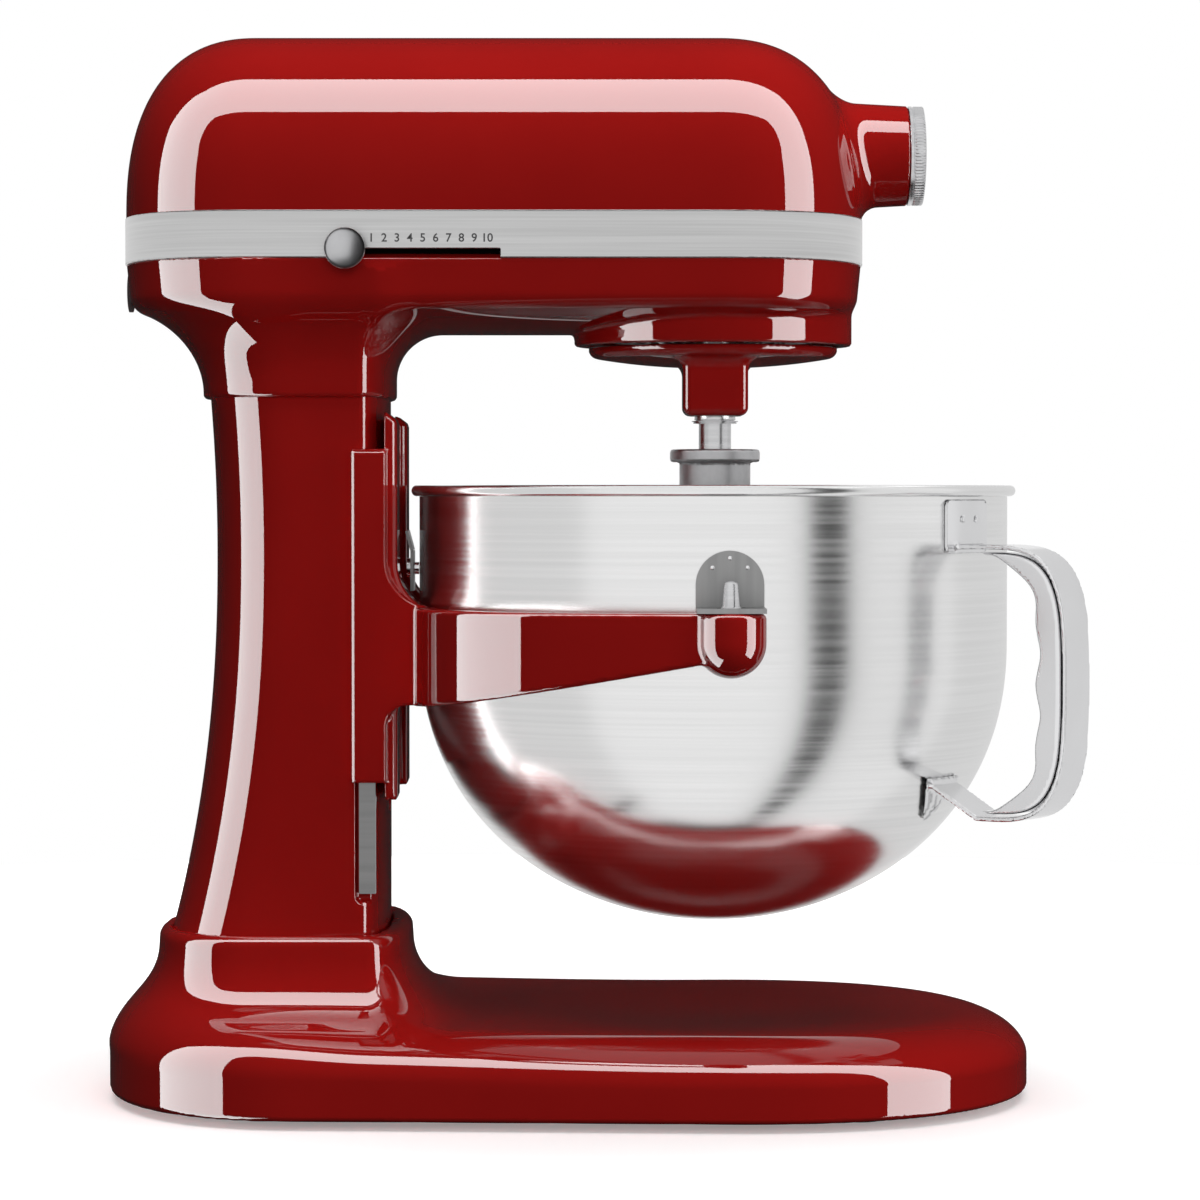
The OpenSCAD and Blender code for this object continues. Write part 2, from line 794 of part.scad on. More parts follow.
module lift_lever() {
    color("silver")
    difference() {
        hull() {
            along_y(lever_x, 56.5, lever_z) cylinder(r = 11, h = 7, $fn = 32);
            along_y(lever_x, 58, lever_z + 60) cylinder(r = 6, h = 5, $fn = 32);
        }
        along_y(lever_x, 50, lever_z) cylinder(r = lever_shaft_r + press_gap, h = 20);
    }
}

module lever_grip() {
    color("black")
    translate([lever_x, 60.5, lever_z + 67]) {
        cylinder(r1 = 6, r2 = 9, h = 26);
        translate([0, 0, 26]) sphere(r = 9);
    }
}

// The arm's middle line seen from above, from the yoke's corner, s = 0, to the pod, s = 1
function arm_point(s) =
    let (a = pow(1 - s, 3), b = 3 * s * pow(1 - s, 2), c = 3 * s * s * (1 - s), d = pow(s, 3))
    [a * -61.6 + b * -64.1 + c * -23.8 + d * (pod_x - 6), a * 51 + b * 104 + c * 133.3 + d * (pod_y + 1.4)];

function arm_ring(s, side) =
    let (p = arm_point(s), q = arm_point(s + 0.01), t = (q - p) / norm(q - p),
        low = 158 + 19 * s, half = 4.4 - 0.6 * s, n = [t[1], -t[0]], r = 2)
    [for (c = [[-half, low + r], [-half + r, low], [half - r, low], [half, low + r],
        [half, arm_top_z - r], [half - r, arm_top_z], [-half + r, arm_top_z], [-half, arm_top_z - r]])
        [p[0] + n[0] * c[0], side * (p[1] + n[1] * c[0]), c[1]]];

module bowl_support() {
    color("firebrick")
    difference() {
        union() {
            translate([column_front + 0.5, -web_half_w, web_z]) cube([2, 2 * web_half_w, web_top_z - web_z]);
            for (side = [-1, 1]) {
                translate([column_front + 0.5, side > 0 ? rib_in : -web_half_w, web_z])
                    cube([yoke_front - column_front - 0.5, web_half_w - rib_in, web_top_z - web_z]);
                translate([flange_rear, side > 0 ? flange_in : -flange_out, yoke_z])
                    cube([yoke_front - 1 - flange_rear, flange_out - flange_in, yoke_top_z - yoke_z]);
                translate([flange_rear, side > 0 ? flange_in : -flange_out, arm_top_z - root_h])
                    cube([root_front - flange_rear, flange_out - flange_in, root_h]);
                loft([for (j = [0:arm_steps])
                    let (ring = arm_ring(j / arm_steps, side))
                        side > 0 ? [for (k = [7:-1:0]) ring[k]] : ring]);
                translate([pod_x, side * pod_y, arm_top_z - 11]) cylinder(r = pod_r, h = 11);
                translate([pod_x, side * pod_y, arm_top_z - 11]) intersection() {
                    sphere(r = pod_r);
                    translate([0, 0, -pod_r]) cube(2 * pod_r, center = true);
                }
            }
        }
        for (side = [-1, 1]) translate([pod_x, side * pod_y, arm_top_z - 12]) cylinder(r = 3.5, h = 20);
    }
}

module locating_pins() {
    color("silver")
    for (side = [-1, 1]) translate([pod_x, side * pod_y, arm_top_z]) {
        translate([0, 0, -10]) cylinder(r = 3.48, h = 10);
        cylinder(r1 = 4.6, r2 = 2.5, h = 12);
    }
}

module lift_bracket() {
    color("gray")
    difference() {
        translate([-138, -4, lever_z + crank_drop - 9]) cube([138 + column_front + 0.4, 8, 18]);
        hull() for (x = [lever_x - crank_r - 1, lever_x - crank_drop + 1])
            along_y(x, -5, lever_z + crank_drop) cylinder(r = crank_pin_r + 1.1, h = 10, $fn = 32);
    }
}

// Bowl's wall: s goes from the bottom, 0, to where the wall turns straight, 1
function bowl_point(s, t) =
    let (depth = bowl_bend_z - bowl_bottom_z, v = cos(90 * s))
    [max(0, (bowl_r - t) * arch(v, bowl_p)), bowl_bend_z - (depth - t) * v];

module bowl() {
    color("silver") {
        rotate_about_bowl(concat(
            [for (s = [0:1 / 18:1 + eps]) bowl_point(s, 0)],
            [[bowl_r, bowl_rim_z - 2.4], [bowl_r - bowl_wall, bowl_rim_z - 2.4]],
            [for (s = [1:-1 / 18:-eps]) bowl_point(s, bowl_wall)]));
        translate([drive_x, 0, 0]) rotate_extrude($fn = 96)
            translate([bowl_r + 1, bowl_rim_z - 2.2]) circle(r = 2.2, $fn = 24);
    }
}

module rotate_about_bowl(points) {
    translate([drive_x, 0, 0]) rotate_extrude($fn = 96) polygon(points);
}

module bowl_brackets() {
    color("silver")
    for (side = [-1, 1]) translate([drive_x, side * (bowl_r + 0.2), 0]) mirror([0, side > 0 ? 0 : 1, 0]) {
        difference() {
            translate([pod_x - drive_x, 0, arm_top_z + 10]) rotate([-90, 0, 0])
                cylinder(r = bracket_r, h = 1.6);
            translate([pod_x - drive_x - 20, -1, arm_top_z - 9.9]) cube([40, 4, 10]);
        }
        translate([pod_x - drive_x - bracket_r, 0, arm_top_z + 0.1]) cube([2 * bracket_r, 1.6, 10]);
        difference() {
            translate([pod_x - drive_x - bracket_r, 0, arm_top_z + 0.1]) cube([2 * bracket_r, 24, 1.8]);
            translate([pod_x - drive_x, pod_y - bowl_r - 0.2, 190]) cylinder(r = 5.4, h = 12);
        }
    }
}

// Handle's middle line: distance from the bowl's axis and height
function handle_point(s) =
    let (a = 90 - 180 * s, half = (grip_top_z - grip_bottom_z) / 2, mid = grip_bottom_z + half)
    [130 + (grip_out - 6.2 - 130) * bend(cos(a), 3.2), mid + (half - 3.5) * bend(sin(a), 3.2)];

function handle_thick(s) = 1.4 + 4.8 * pow(sin(180 * s), 0.7);

function handle_ring(p, tangent, half_t, half_w) =
    let (n = [-tangent[1], tangent[0]])
    [for (c = [[-half_t, half_w], [half_t, half_w], [half_t, -half_w], [-half_t, -half_w]])
        [p[0] + n[0] * c[0], c[1], p[1] + n[1] * c[0]]];

module bowl_handle() {
    steps = 28;
    path = concat([[bowl_r + 1.4, 217], [126, 218.5]], [for (j = [1:steps - 1]) handle_point(j / steps)],
        [[122, 115], [106.3, 119]]);
    last = len(path) - 1;
    color("silver")
    translate([drive_x, 0, 0]) rotate(handle_angle) {
        loft([for (k = [0:last]) let (
            before = path[max(0, k - 1)], after = path[min(last, k + 1)],
            t = (after - before) / norm(after - before),
            s = min(1, max(0, (k - 1) / steps)))
            handle_ring(path[k], t, handle_thick(s), grip_half_w - 1.5 + 1.5 * sin(180 * s))]);
        translate([bowl_r + 0.2, -15, 215]) cube([1.6, 30, 21]);
    }
}

module latch_spring() {
    color("gray")
    translate([drive_x - bowl_r - 3.4, 0, 0]) {
        translate([0, -8, 200]) cube([1.2, 16, 16]);
        translate([0, -8, 216]) rotate([0, -15, 0]) cube([1.2, 16, 8]);
    }
}

module latch_rivet() {
    color("silver")
    along_x(drive_x - bowl_r - 5, 0, 209) cylinder(r = 4, h = 1.5);
    color("silver")
    along_x(drive_x - bowl_r - 2.1, 0, 209) cylinder(r = 2.5, h = 1.9);
}

// --- Speed control ---

module speed_knob() {
    color("silver")
    along_y(-92, -head_half_w - 8, band_z + 3.5) {
        cylinder(r1 = 7.2, r2 = 7.85, h = 1.5, $fn = 96);
        translate([0, 0, 1.5]) cylinder(r = 7.85, h = 3.5, $fn = 96);
        translate([0, 0, 5]) cylinder(r = 4, h = 2);
    }
}

module speed_lever() {
    color("gray")
    translate([-95, -head_half_w - 1, band_z + 0.8]) cube([6, 8.6, 2.2]);
}

base();
feet();
base_screws();
column();
guide_rails();
neck_screws();
head_lower();
head_upper();
trim_band();
slot_liner();
head_screws();
hub_bushing();
motor_field();
field_coils();
front_bracket();
rear_bracket();
brush_holders();
carbon_brushes();
speed_board();
gear_plate();
ring_gear();
centre_bearing();
idler_bush();
cord_gland();
lever_bush();
planetary();
centre_shaft();
centre_gear();
bevel_gear();
beater_shaft();
planet_pinion();
beater_pin();
shaft_washer();
flat_beater();
idler_shaft();
idler_pinion();
worm_wheel();
armature_shaft();
armature_core();
commutator();
worm();
cooling_fan();
hub_shaft();
hub_pinion();
hub_cap();
attachment_knob();
lift_crank();
lift_lever();
lever_grip();
bowl_support();
locating_pins();
lift_bracket();
bowl();
bowl_brackets();
bowl_handle();
latch_spring();
latch_rivet();
speed_knob();
speed_lever();
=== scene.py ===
import json
import math
import bpy
import numpy as np
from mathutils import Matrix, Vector


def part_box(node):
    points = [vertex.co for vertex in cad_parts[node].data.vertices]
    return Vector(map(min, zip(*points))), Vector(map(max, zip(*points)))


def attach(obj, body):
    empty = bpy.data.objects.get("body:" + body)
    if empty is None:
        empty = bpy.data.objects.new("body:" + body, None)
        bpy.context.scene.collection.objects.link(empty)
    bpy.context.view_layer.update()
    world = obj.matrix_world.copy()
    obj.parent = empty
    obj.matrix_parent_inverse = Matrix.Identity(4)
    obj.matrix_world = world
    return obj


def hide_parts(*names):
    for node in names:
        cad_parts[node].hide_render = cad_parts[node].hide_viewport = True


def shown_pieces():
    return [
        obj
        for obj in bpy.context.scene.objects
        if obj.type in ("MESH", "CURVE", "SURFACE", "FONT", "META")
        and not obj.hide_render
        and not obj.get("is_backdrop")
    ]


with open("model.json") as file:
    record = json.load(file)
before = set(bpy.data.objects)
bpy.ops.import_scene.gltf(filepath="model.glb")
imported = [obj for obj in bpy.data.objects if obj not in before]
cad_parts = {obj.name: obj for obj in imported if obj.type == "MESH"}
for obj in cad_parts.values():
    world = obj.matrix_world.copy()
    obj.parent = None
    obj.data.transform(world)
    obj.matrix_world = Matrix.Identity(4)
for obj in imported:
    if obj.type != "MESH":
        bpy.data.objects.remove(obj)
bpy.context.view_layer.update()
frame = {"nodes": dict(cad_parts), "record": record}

MM = 1000.0
FINE_STEP = 1.25
QUICK_COARSER = 1.6


# ---------------------------------------------------------------- measures from the frame
def box_mm(node):
    lo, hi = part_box(node)
    return np.array(lo) * MM, np.array(hi) * MM


def joint(name):
    return next(j for j in frame["record"]["behaviour"]["joints"] if j["name"] == name)


UPPER_LO, UPPER_HI = box_mm("head_upper")
BAND_LO, BAND_HI = box_mm("trim_band")
LOWER_LO, LOWER_HI = box_mm("head_lower")
COLUMN_LO, COLUMN_HI = box_mm("column")
BASE_LO, BASE_HI = box_mm("base")
DISC_LO, DISC_HI = box_mm("planetary")
BOWL_LO, BOWL_HI = box_mm("bowl")
YOKE_LO, YOKE_HI = box_mm("bowl_support")
PIN_LO, PIN_HI = box_mm("locating_pins")
HANDLE_LO, HANDLE_HI = box_mm("bowl_handle")
BEATER_LO, BEATER_HI = box_mm("flat_beater")
LINER_LO, LINER_HI = box_mm("slot_liner")
CAP_LO, CAP_HI = box_mm("hub_cap")
KNOB_LO, KNOB_HI = box_mm("speed_knob")
RAIL_LO, RAIL_HI = box_mm("guide_rails")

BAND_PROUD = 0.4
HEAD_REAR = BAND_LO[0] + BAND_PROUD
HEAD_FRONT = BAND_HI[0] - BAND_PROUD
HEAD_W = BAND_HI[1] - BAND_PROUD
BAND_Z, BAND_TOP = BAND_LO[2], BAND_HI[2]
HEAD_TOP = UPPER_HI[2]
DRIVE_X = joint("planetary_spin")["pos_m"][0] * MM
SPINDLE_Y = joint("beater_spin")["pos_m"][1] * MM
HUB_Z = joint("hub_spin")["pos_m"][2] * MM
COLUMN_FRONT = COLUMN_HI[0]
COLUMN_W = COLUMN_HI[1]
BOWL_X = (BOWL_LO[0] + BOWL_HI[0]) / 2
RIM_R = (BOWL_HI[0] - BOWL_LO[0]) / 2
RIM_TOP = BOWL_HI[2]
BOWL_BOTTOM = BOWL_LO[2]
BOWL_R = RIM_R - 3.2
BOWL_WALL = 1.4
BOWL_TURN = 180.0
BOWL_P = 2.2

YOKE_WEB = COLUMN_FRONT + 1.5
YOKE_W = COLUMN_W + 6
ARM_TOP = PIN_LO[2] + 10
POD_X = (PIN_LO[0] + PIN_HI[0]) / 2
POD_R = 13.0
POD_Y = YOKE_HI[1] - POD_R
ARM_ROOT, ARM_END, ARM_SIDE = -66.0, POD_X - 5, POD_Y + 5.2
ARM_P, ARM_THICK = 2.45, 8.4
PLATE_Y = BOWL_R + 1.8
HANDLE_TURN = math.radians(-36)
GRIP_OUT = (HANDLE_HI[0] - BOWL_X + 10 * math.sin(HANDLE_TURN)) / math.cos(HANDLE_TURN)
GRIP_MID, GRIP_HALF = 167.0, 51.5
STRAP_HALF, STRAP_W = 0.85, 9.4
LEG_TOP, LEG_FOOT = (127, GRIP_MID - GRIP_HALF), (106.6, 127.5)
WELD_HALF, WELD_W = 0.75, 15
FLAP_U, FLAP_LOW, FLAP_TOP, FOOT_LOW, FOOT_TOP = 118.2, 216, 236.5, 112.5, 130


# ---------------------------------------------------------------- distance fields, in millimetres
def blend(a, b, r):
    """Union of two fields with a round fillet of radius r."""
    return np.maximum(r, np.minimum(a, b)) - np.hypot(np.maximum(r - a, 0), np.maximum(r - b, 0))


def meet(a, b, r):
    """Intersection of two fields with a round edge of radius r."""
    return -blend(-a, -b, r)


def carve(a, b, r):
    """Field a with field b cut away, with a round edge of radius r."""
    return -blend(-a, b, r)


def beyond(x, rear, front):
    """How far x lies outside the stretch from rear to front, with its sign."""
    return np.where(x > front, x - front, np.where(x < rear, x - rear, 0.0))


def oval(x, y, rear, front, w, rear_len, front_len, p):
    """Distance from an outline with straight sides and superelliptic ends."""
    dx = beyond(x, rear + rear_len, front - front_len)
    length = np.where(dx > 0, front_len, rear_len)
    a, b = np.abs(dx) / length, np.abs(y) / w
    g = np.maximum((a**p + b**p) ** (1 / p), 1e-6)
    slope = np.hypot((a / g) ** (p - 1) / length, (b / g) ** (p - 1) / w)
    return (g - 1) / slope


def dome(x, y, z, rear, front, w, h, rear_len, front_len, p, q):
    """Distance from a superellipsoid with a straight middle; z counts from its widest level."""
    dx = beyond(x, rear + rear_len, front - front_len)
    length = np.where(dx > 0, front_len, rear_len)
    a, b, c = np.abs(dx) / length, np.abs(y) / w, np.abs(z) / h
    plan = np.maximum((a**p + b**p) ** (1 / p), 1e-6)
    g = np.maximum((plan**q + c**q) ** (1 / q), 1e-6)
    along = (plan / g) ** (q - 1)
    slope = np.sqrt((along * (a / plan) ** (p - 1) / length) ** 2 + (along * (b / plan) ** (p - 1) / w) ** 2
                    + ((c / g) ** (q - 1) / h) ** 2)
    return (g - 1) / slope


def block(x, y, z, lo, hi, r):
    """Distance from a box with round edges of radius r."""
    half = (np.array(hi, float) - lo) / 2
    mid = (np.array(hi, float) + lo) / 2
    d = [np.abs(v - m) - h + r for v, m, h in zip((x, y, z), mid, half)]
    outside = np.sqrt(sum(np.maximum(v, 0) ** 2 for v in d))
    return outside + np.minimum(np.maximum(np.maximum(d[0], d[1]), d[2]), 0) - r


def level(z, low, high):
    return np.maximum(low - z, z - high)


def smooth_step(t):
    t = np.clip(t, 0, 1)
    return t * t * (3 - 2 * t)


# ---------------------------------------------------------------- meshes
def surface(field, lo, hi, step):
    """Quads on the zero level of a field, one vertex in each grid cell that it crosses."""
    lo = np.array(lo, float) - 1.37 * step
    counts = np.ceil((np.array(hi, float) - lo) / step).astype(int) + 3
    axes = [lo[k] + step * np.arange(counts[k]) for k in range(3)]
    grid = np.meshgrid(*axes, indexing="ij")
    values = field(*grid)
    inside = values < 0
    nx, ny, nz = (n - 1 for n in counts)
    corners = [(i, j, k) for i in (0, 1) for j in (0, 1) for k in (0, 1)]
    total = sum(inside[i:i + nx, j:j + ny, k:k + nz].astype(int) for i, j, k in corners)
    cells = np.argwhere((total > 0) & (total < 8))
    number = -np.ones((nx, ny, nz), int)
    number[tuple(cells.T)] = np.arange(len(cells))
    points, weight = np.zeros((len(cells), 3)), np.zeros(len(cells))
    for axis in range(3):
        for start in corners:
            if start[axis]:
                continue
            end = list(start)
            end[axis] = 1
            a = values[tuple((cells + start).T)]
            b = values[tuple((cells + end).T)]
            cross = (a < 0) != (b < 0)
            t = np.where(cross, a / np.where(cross, a - b, 1), 0)
            place = cells + np.array(start, float)
            place[:, axis] += t
            points[cross] += place[cross]
            weight += cross
    points = lo + step * points / weight[:, None]
    faces = []
    for axis in range(3):
        u, v = (axis + 1) % 3, (axis + 2) % 3
        near = [slice(1, nx), slice(1, ny), slice(1, nz)]
        near[axis] = slice(0, (nx, ny, nz)[axis])
        far = list(near)
        far[axis] = slice(1, (nx, ny, nz)[axis] + 1)
        change = inside[tuple(near)].astype(int) - inside[tuple(far)].astype(int)
        for sign in (1, -1):
            hits = np.argwhere(change == sign) + 1
            hits[:, axis] -= 1
            ring = []
            for du, dv in ((0, 0), (1, 0), (1, 1), (0, 1)):
                cell = hits.copy()
                cell[:, u] -= du
                cell[:, v] -= dv
                ring.append(number[tuple(cell.T)])
            quad = np.stack(ring, axis=1)
            faces.append(quad if sign > 0 else quad[:, ::-1])
    return project(field, points, 5), np.concatenate(faces)


def gradient(field, p, h=0.04):
    parts = []
    for axis in range(3):
        step = np.zeros(3)
        step[axis] = h
        parts.append((field(*(p + step).T) - field(*(p - step).T)) / (2 * h))
    return np.stack(parts, axis=1)


def project(field, p, rounds):
    for _ in range(rounds):
        g = gradient(field, p)
        size = np.maximum((g**2).sum(axis=1), 0.05)
        move = np.clip(field(*p.T) / size, -1.0, 1.0)
        p = p - g * move[:, None]
    return p


def add_mesh(name, points, faces):
    mesh = bpy.data.meshes.new(name)
    corners = [tuple(p) for p in np.asarray(points) / MM]
    mesh.from_pydata(corners, [], [tuple(int(i) for i in face) for face in faces])
    mesh.validate()
    mesh.shade_smooth()
    piece = bpy.data.objects.new(name, mesh)
    bpy.context.scene.collection.objects.link(piece)
    return piece


def cast(name, field, lo, hi, step, body, nodes, material):
    """A casting from its distance field, shaded with the field's own normals."""
    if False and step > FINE_STEP:
        step = step * QUICK_COARSER
    points, faces = surface(field, lo, hi, step)
    piece = add_mesh(name, points, faces)
    normals = gradient(field, points)
    normals /= np.maximum(np.linalg.norm(normals, axis=1), 1e-9)[:, None]
    piece.data.normals_split_custom_set_from_vertices([tuple(n) for n in normals])
    return settle(piece, body, nodes, material)


def settle(piece, body, nodes, material):
    """Gives a piece its material, its body and the CAD nodes that it stands for."""
    piece.data.materials.clear()
    piece.data.materials.append(material)
    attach(piece, body)
    if nodes:
        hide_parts(*nodes)
    return piece


def crease(piece, degrees):
    """Keeps the edges sharper than this angle sharp."""
    piece.data.set_sharp_from_angle(angle=math.radians(degrees))
    return piece


def lathe(profile, steps, centre, axis="z"):
    """Points and quads of a profile of (radius, height) turned about an axis along Z or Y."""
    points = []
    for r, h in profile:
        for a in 2 * math.pi * np.arange(steps) / steps:
            u, v = centre[0] + r * math.cos(a), centre[1] + r * math.sin(a)
            points.append((u, v, h) if axis == "z" else (v, h, u))
    return points, tube_faces(len(profile), steps)


def tube_faces(rings, steps):
    """Quads between rings of points that follow one another."""
    faces = []
    for j in range(rings - 1):
        for i in range(steps):
            a, b = j * steps + i, j * steps + (i + 1) % steps
            faces.append((a, b, b + steps, a + steps))
    return faces


# ---------------------------------------------------------------- materials
def new_material(name):
    material = bpy.data.materials.new(name)
    material.use_nodes = True
    nodes = material.node_tree.nodes
    return material, nodes, material.node_tree.links, nodes["Principled BSDF"]


def noise(nodes, links, scale, detail, stretch=(1, 1, 1)):
    coords = nodes.new("ShaderNodeTexCoord")
    mapping = nodes.new("ShaderNodeMapping")
    mapping.inputs["Scale"].default_value = stretch
    texture = nodes.new("ShaderNodeTexNoise")
    texture.inputs["Scale"].default_value = scale
    texture.inputs["Detail"].default_value = detail
    links.new(coords.outputs["Object"], mapping.inputs["Vector"])
    links.new(mapping.outputs["Vector"], texture.inputs["Vector"])
    return texture.outputs["Fac"]


def ramp(nodes, links, source, low, high, start=0.3, end=0.7):
    node = nodes.new("ShaderNodeValToRGB")
    node.color_ramp.elements[0].position = start
    node.color_ramp.elements[1].position = end
    node.color_ramp.elements[0].color = (*low, 1) if isinstance(low, tuple) else (low, low, low, 1)
    node.color_ramp.elements[1].color = (*high, 1) if isinstance(high, tuple) else (high, high, high, 1)
    links.new(source, node.inputs["Fac"])
    return node.outputs["Color"]


def bump(nodes, links, shader, source, strength, depth):
    node = nodes.new("ShaderNodeBump")
    node.inputs["Strength"].default_value = strength
    node.inputs["Distance"].default_value = depth
    links.new(source, node.inputs["Height"])
    links.new(node.outputs["Normal"], shader.inputs["Normal"])


def enamel(name):
    """Deep red gloss enamel with a faint orange peel."""
    material, nodes, links, shader = new_material(name)
    tint = ramp(nodes, links, noise(nodes, links, 24, 3), (0.335, 0.0075, 0.0065), (0.360, 0.0085, 0.0072))
    links.new(tint, shader.inputs["Base Color"])
    shader.inputs["Roughness"].default_value = 0.5
    shader.inputs["Specular IOR Level"].default_value = 0.0
    shader.inputs["Coat Weight"].default_value = 1.0
    shader.inputs["Coat Roughness"].default_value = 0.015
    shader.inputs["Coat IOR"].default_value = 1.55
    bump(nodes, links, shader, noise(nodes, links, 260, 2), 0.03, 0.0002)
    return material


def metal(name, colour, roughness, scale, stretch=(1, 1, 1), spread=0.05, depth=0.00002, aniso=0.0,
          strength=0.2, bright=1.12):
    """Metal whose grain runs along the axes with the small stretch values."""
    material, nodes, links, shader = new_material(name)
    grain = noise(nodes, links, scale, 4, stretch)
    low = tuple(v * (2 - bright) for v in colour)
    high = tuple(min(v * bright, 1) for v in colour)
    links.new(ramp(nodes, links, grain, low, high), shader.inputs["Base Color"])
    links.new(ramp(nodes, links, grain, roughness - spread, roughness + spread), shader.inputs["Roughness"])
    shader.inputs["Metallic"].default_value = 1.0
    shader.inputs["Anisotropic"].default_value = aniso
    bump(nodes, links, shader, grain, strength, depth)
    return material


def moulded(name, colour, roughness, gloss=0.5):
    """Moulded plastic or rubber with a fine grain."""
    material, nodes, links, shader = new_material(name)
    grain = noise(nodes, links, 300.0, 3)
    links.new(ramp(nodes, links, grain, tuple(v * 0.8 for v in colour), tuple(v * 1.25 for v in colour)),
              shader.inputs["Base Color"])
    links.new(ramp(nodes, links, grain, roughness - 0.06, roughness + 0.06), shader.inputs["Roughness"])
    shader.inputs["Specular IOR Level"].default_value = gloss
    bump(nodes, links, shader, grain, 0.3, 0.00005)
    return material


def banded(name, low, high, roughness, scale, distortion, strength, depth):
    """Metal in thin bands across X: a stack of sheets or a winding, seen from the side."""
    material, nodes, links, shader = new_material(name)
    coords = nodes.new("ShaderNodeTexCoord")
    wave = nodes.new("ShaderNodeTexWave")
    wave.bands_direction = "X"
    wave.inputs["Scale"].default_value = scale
    wave.inputs["Distortion"].default_value = distortion
    links.new(coords.outputs["Object"], wave.inputs["Vector"])
    links.new(ramp(nodes, links, wave.outputs["Fac"], low, high), shader.inputs["Base Color"])
    shader.inputs["Metallic"].default_value = 1.0
    shader.inputs["Roughness"].default_value = roughness
    bump(nodes, links, shader, wave.outputs["Fac"], strength, depth)
    return material


def circuit_board(name):
    """Green solder mask over copper tracks."""
    material, nodes, links, shader = new_material(name)
    coords = nodes.new("ShaderNodeTexCoord")
    bricks = nodes.new("ShaderNodeTexBrick")
    bricks.inputs["Scale"].default_value = 120
    bricks.inputs["Color1"].default_value = (0.008, 0.10, 0.03, 1)
    bricks.inputs["Color2"].default_value = (0.012, 0.14, 0.045, 1)
    bricks.inputs["Mortar"].default_value = (0.02, 0.22, 0.08, 1)
    links.new(coords.outputs["Object"], bricks.inputs["Vector"])
    links.new(bricks.outputs["Color"], shader.inputs["Base Color"])
    shader.inputs["Roughness"].default_value = 0.35
    bump(nodes, links, shader, bricks.outputs["Fac"], 0.2, 0.0001)
    return material


RED = enamel("red_enamel")
BRUSHED = metal("brushed_trim", (0.52, 0.52, 0.52), 0.34, 1.0, stretch=(8, 8, 900), spread=0.06,
                strength=0.15)
DIAL = metal("spun_dial", (0.46, 0.46, 0.47), 0.30, 60.0, spread=0.04)
BOWL_STEEL = metal("bowl_steel", (0.80, 0.80, 0.80), 0.20, 1.0, stretch=(4, 4, 700), spread=0.03, aniso=0.55,
                   strength=0.10, bright=1.04)
POLISHED = metal("polished_steel", (0.78, 0.78, 0.79), 0.19, 30.0, spread=0.02, strength=0.02, bright=1.03)
TURNED = metal("turned_steel", (0.60, 0.60, 0.61), 0.24, 1.0, stretch=(3, 3, 400))
PLATE_STEEL = metal("plate_steel", (0.30, 0.30, 0.30), 0.40, 1.0, stretch=(300, 300, 8))
RAIL = metal("ground_rail", (0.20, 0.20, 0.20), 0.36, 1.0, stretch=(6, 6, 400))
CAST = metal("cast_aluminium", (0.52, 0.52, 0.53), 0.38, 220.0, spread=0.08, depth=0.00008, strength=0.3)
GEAR = metal("gear_steel", (0.42, 0.42, 0.44), 0.32, 120.0, spread=0.06)
SHAFT = metal("shaft_steel", (0.62, 0.62, 0.63), 0.26, 1.0, stretch=(2, 2, 300), spread=0.04)
SCREW = metal("screw_steel", (0.50, 0.50, 0.52), 0.28, 150.0)
BRONZE = metal("bronze", (0.55, 0.36, 0.16), 0.32, 160.0, spread=0.06)
COPPER = banded("copper", (0.32, 0.09, 0.03), (0.75, 0.28, 0.12), 0.3, 300, 1.5, 0.7, 0.0002)
IRON = banded("laminated_iron", (0.11, 0.11, 0.12), (0.25, 0.25, 0.26), 0.45, 420, 0.6, 0.6, 0.0001)
BOARD = circuit_board("circuit_board")
RUBBER = moulded("black_rubber", (0.020, 0.020, 0.021), 0.75)
PLASTIC = moulded("black_plastic", (0.006, 0.006, 0.0065), 0.42)
RECESS = moulded("black_recess", (0.004, 0.004, 0.004), 0.8, gloss=0.05)
INK = moulded("scale_ink", (0.060, 0.060, 0.062), 0.6)


# ---------------------------------------------------------------- head
REAR_LEN, FRONT_LEN = 52.7, 57.5
PLAN_P, ARCH_P = 2.3, 2.4
LOWER_REAR_NECK, LOWER_FRONT_NECK, NECK_W = -152.4, -76.5, 53.0
NECK_TOP = 312
HUB_R = (CAP_HI[2] - CAP_LO[2]) / 2
HUB_TAPER, HUB_ROOT, HUB_BORE_R, HUB_BORE_END = 0.055, 72, 15.9, 88
KNOB_BOSS_X, KNOB_BOSS_R, KNOB_BOSS_END = 112, 7.5, 26
DRIVE_BOSS_R, DRIVE_BOSS_LOW, DRIVE_BOSS_TOP = 55.2, 297.2, 318
DISC_BORE_R, DISC_BORE_TOP = 50.1, 300
HOUSING_FOOT, CASTING_TOP = BAND_TOP - 3, BAND_Z + 2


